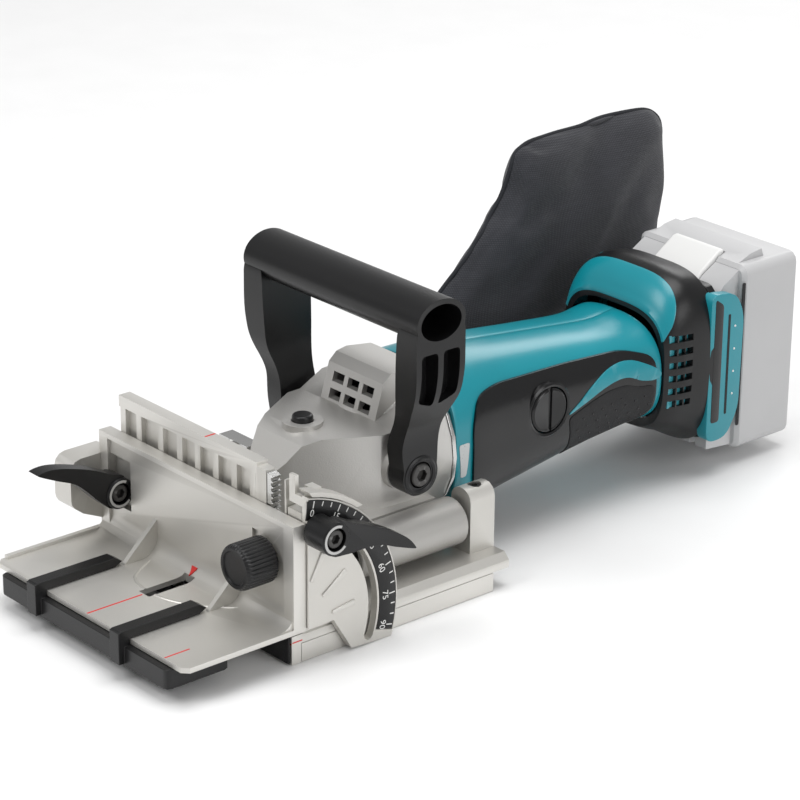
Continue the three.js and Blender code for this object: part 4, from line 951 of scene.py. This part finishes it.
def castings():
    """Ribs on the quadrant, the arc ridge on the flange, the label and the screws in the rear posts."""
    for k, (angle, near, far) in enumerate(((6, 24, 37), (33, 22, 38), (60, 24, 38))):
        a, half = math.radians(angle), 1.5
        side, ahead = (-math.sin(a), math.cos(a)), (math.cos(a), math.sin(a))
        corners = [(near, half * 0.6), (far, half), (far, -half), (near, -half * 0.6)]
        rib = prism(f"quadrant_rib_{k}", [(TILT[0] + d * ahead[0] + w * side[0],
                                           TILT[1] + d * ahead[1] + w * side[1])
                                          for d, w in corners], 73.0, 74.15)
        finish_piece(rib, "angle_guide", "cast_aluminium", (), 0.5, 3, 30)
    ridge = smooth_outline([(-30, 0.8), (-17, -21), (4, -25.2), (22, -19), (37, -6), (41.5, 0.8)], 8, False)
    bm = bmesh.new()
    rings = []
    for i, (x, y) in enumerate(ridge):
        x0, y0 = ridge[max(i - 1, 0)]
        x1, y1 = ridge[min(i + 1, len(ridge) - 1)]
        run = Vector((x1 - x0, y1 - y0)).normalized()
        ring = []
        for across, up in ((-1.1, -0.3), (-0.5, 0.42), (0.5, 0.42), (1.1, -0.3)):
            ring.append(bm.verts.new(point(x - run.y * across, y + run.x * across, 19 + up)))
        rings.append(ring)
    join_rings(bm, rings)
    obj = outward("flange_ridge", bm)
    carve(obj, [box("slot", -3.8, 3.8, -29, 0, 15, 24)])
    finish_piece(obj, "fence", "cast_aluminium", (), 0.15, 2, 40)
    patch = skin_patch("label_patch", rounded([(126, 62), (132.6, 62), (131.2, 45), (127.6, 45)], 1.2, 3), 1,
                       lift=0.22,
                       sink=-0.4, step=2)
    finish_piece(patch, "motor_unit", "label")
    for side in (1, -1):
        centre = (side * POST_SCREW[0], POST_SCREW[1])
        head = turned("post_screw", [(0, 44.6), (3.1, 44.6), (3.1, 46.9), (2.6, 47.4), (0, 47.4)], "z",
                      centre, 32)
        carve(head, [turned("hex", [(0, 46), (1.7, 46), (1.7, 49), (0, 49)], "z", centre, 6)])
        finish_piece(head, "base", "dark_steel", (), 0.1, 2, 40)


# ---------------------------------------------------------------- dust bag

def dust_bag():
    bag = add_object("dust_bag_cloth", frame["nodes"]["dust_bag"].data.copy())
    remesh = bag.modifiers.new("remesh", "REMESH")
    remesh.mode = "VOXEL"
    remesh.voxel_size = 0.0042
    bake(bag)
    mesh = bag.data
    rest = [v.co.copy() for v in mesh.vertices]
    neck = point(0, *BAG_NECK)
    pin = bag.vertex_groups.new(name="pin")
    for v in mesh.vertices:
        away = (Vector((0, v.co.y, v.co.z)) - neck).length
        weight = clamp(1 - (away - 0.022) / 0.03)
        if weight > 0:
            pin.add([v.index], weight, "REPLACE")
        slim = 0.80 + 0.2 * clamp(1 - away / 0.05)
        v.co.x = BAG_CENTRE_X + (v.co.x - BAG_CENTRE_X) * slim
    cloth = bag.modifiers.new("cloth", "CLOTH")
    setting = cloth.settings
    setting.quality = 6
    setting.mass = 0.25
    setting.tension_stiffness = 18
    setting.compression_stiffness = 10
    setting.shear_stiffness = 6
    setting.bending_stiffness = 0.35
    setting.vertex_group_mass = "pin"
    setting.use_pressure = True
    setting.uniform_pressure_force = 2.6
    setting.effector_weights.gravity = 0
    setting.shrink_min = -0.035
    cloth.collision_settings.use_collision = False
    scene = bpy.context.scene
    cloth.point_cache.frame_start = 1
    cloth.point_cache.frame_end = CLOTH_FRAMES
    for number in range(1, CLOTH_FRAMES + 1):
        scene.frame_set(number)
    bake(bag)
    scene.frame_set(1)
    mesh = bag.data
    for v, start in zip(mesh.vertices, rest):
        move = v.co - start
        for axis, most in enumerate(CLOTH_LIMIT):
            move[axis] = clamp(move[axis], -most, most)
        v.co = start + move
        y, z = v.co.y * 1000 + BLADE_Y, v.co.z * 1000
        # long soft creases that run from the neck up and back, and a fold where the bag leans on the tool
        along = (y - 168) * 0.80 + (z - 47) * 0.60
        across = -(y - 168) * 0.60 + (z - 47) * 0.80
        side = 1 if v.co.x > BAG_CENTRE_X else -1
        fade = clamp((along - 20) / 60)
        crease = math.sin(across * 0.16 + 1.3 * math.sin(along * 0.021) + side * 0.9)
        small = noise.noise(Vector((along * 0.02, across * 0.075, side * 3.1)))
        dent = math.exp(-((across + 22 - along * 0.08) / 13) ** 2) * clamp((along - 40) / 50)
        v.co.x += side * (0.0011 * crease + 0.0022 * small - 0.0035 * dent) * fade
    sub = bag.modifiers.new("fine", "SUBSURF")
    sub.levels = 1
    sub.render_levels = 1
    bake(bag)
    box_low, box_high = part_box("dust_bag")
    for v in bag.data.vertices:
        for axis, spare in ((0, 0.007), (1, 0.003), (2, 0.003)):
            v.co[axis] = clamp(v.co[axis], box_low[axis] - spare, box_high[axis] + spare)
    finish_piece(bag, "base", "bag_fabric", ("dust_bag",), 0, shade=80)
    seam_rope(bag)


def seam_rope(bag):
    """Bound seam round the bag's outline, where its two sides are sewn together."""
    outline = smooth_outline([(184, 63), (202, 79), (222, 97), (248, 126), (258, 143), (270, 151.8),
                              (290, 153.4),
                              (320, 153.2), (346, 153.2), (360, 147), (366, 130), (363.6, 112), (364, 96),
                              (358, 74), (344, 62), (300, 50), (262, 41), (220, 33), (200, 31)], 5, False)
    centre = (285, 100)

    def bearing(y, z):
        return round(math.degrees(math.atan2(z - centre[1], y - centre[0])) / 4)

    rim = {}
    for v in bag.data.vertices:
        y, z = v.co.y * 1000 + BLADE_Y, v.co.z * 1000
        a = bearing(y, z)
        d = math.hypot(y - centre[0], z - centre[1])
        if a not in rim or d > rim[a][0]:
            rim[a] = (d, v.co.copy())
    loop = [rim[bearing(y, z)][1] for y, z in outline if bearing(y, z) in rim]
    clean = [loop[0]]
    for p in loop[1:]:
        if (p - clean[-1]).length > 0.004:
            clean.append(p)
    curve = bpy.data.curves.new("bag_seam", "CURVE")
    curve.dimensions = "3D"
    curve.bevel_depth = 0.0011
    curve.bevel_resolution = 3
    curve.use_fill_caps = True
    spline = curve.splines.new("NURBS")
    spline.points.add(len(clean) - 1)
    for p, co in zip(spline.points, clean):
        p.co = (*co, 1)
    spline.use_endpoint_u = True
    spline.order_u = 4
    spline.resolution_u = 6
    mesh = curve_mesh("bag_seam_curve", curve)
    finish_piece(add_object("bag_seam", mesh), "base", "seam_thread")


# ---------------------------------------------------------------- build

motor_housing()
rear_collar()
housing_tongue()
d_handle()
height_knob()
levers()
angle_scale()
battery()
red_marks()
castings()
dust_bag()

ROUND = {
    "base_casting": 0.8, "front_pad": 0.25, "blade_cover": 0.6, "scale_pointer": 0.5, "guide_plate": 0.55,
    "fence_plate": 0.7, "set_plate": 0.6, "gear_housing": 1.3, "dust_nozzle": 0.9, "bag_collar": 0.6,
    "motor_ring": 0.4, "battery_mount": 0.5, "depth_turret": 0.5, "shaft_lock": 0.5, "slide_switch": 0.6,
    "return_spring_right": 0, "return_spring_left": 0, "blade": 0.12, "bevel_gear": 0.12, "height_rack": 0.1,
    "slide_sleeve_right": 0.6, "slide_sleeve_left": 0.6,
}
for node in frame["nodes"]:
    if node not in COVERED:
        piece = refined(node, ROUND.get(node, 0.2))
        if node.startswith("return_spring"):
            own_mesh(piece)


# ---------------------------------------------------------------- stage, light and camera

def stage():
    bm = bmesh.new()
    bmesh.ops.create_grid(bm, x_segments=1, y_segments=1, size=6)
    floor = new_object("floor", bm)
    floor.location.z = -0.0002
    mat = material("pale floor", (0.86, 0.86, 0.86), 0.75, vary=0.01, specular=0.2)
    floor.data.materials.append(mat)
    world = bpy.data.worlds.new("studio")
    world.use_nodes = True
    world.node_tree.nodes["Background"].inputs["Color"].default_value = (1, 1, 1, 1)
    world.node_tree.nodes["Background"].inputs["Strength"].default_value = 0.42
    bpy.context.scene.world = world
    for name, place, size, power in (("key", (-0.3, -1.3, 1.5), 0.9, 13), ("side", (1.7, 0.3, 0.8), 0.9, 8),
                                     ("top", (0.1, 0.2, 1.9), 1.2, 22), ("back", (-0.9, 1.6, 1.2), 0.8, 7)):
        light = bpy.data.lights.new(name, "AREA")
        light.size = size
        light.energy = power
        lamp = add_object(name, light)
        lamp.location = place
        lamp.rotation_euler = (Vector((0, 0.1, 0.05)) - Vector(place)).to_track_quat("-Z", "Y").to_euler()


def camera():
    data = bpy.data.cameras.new("camera")
    data.lens = 142.7
    data.sensor_width = 36
    data.clip_end = 50
    cam = add_object("camera", data)
    place, target = point(1045.8, -781.8, 636.0), point(0, 84, 52.5)
    cam.location = place
    cam.rotation_euler = (target - place).to_track_quat("-Z", "Y").to_euler()
    data.shift_x = 0.079
    data.shift_y = 0.078
    bpy.context.scene.camera = cam


stage()
camera()
bpy.context.scene.view_settings.view_transform = "Standard"
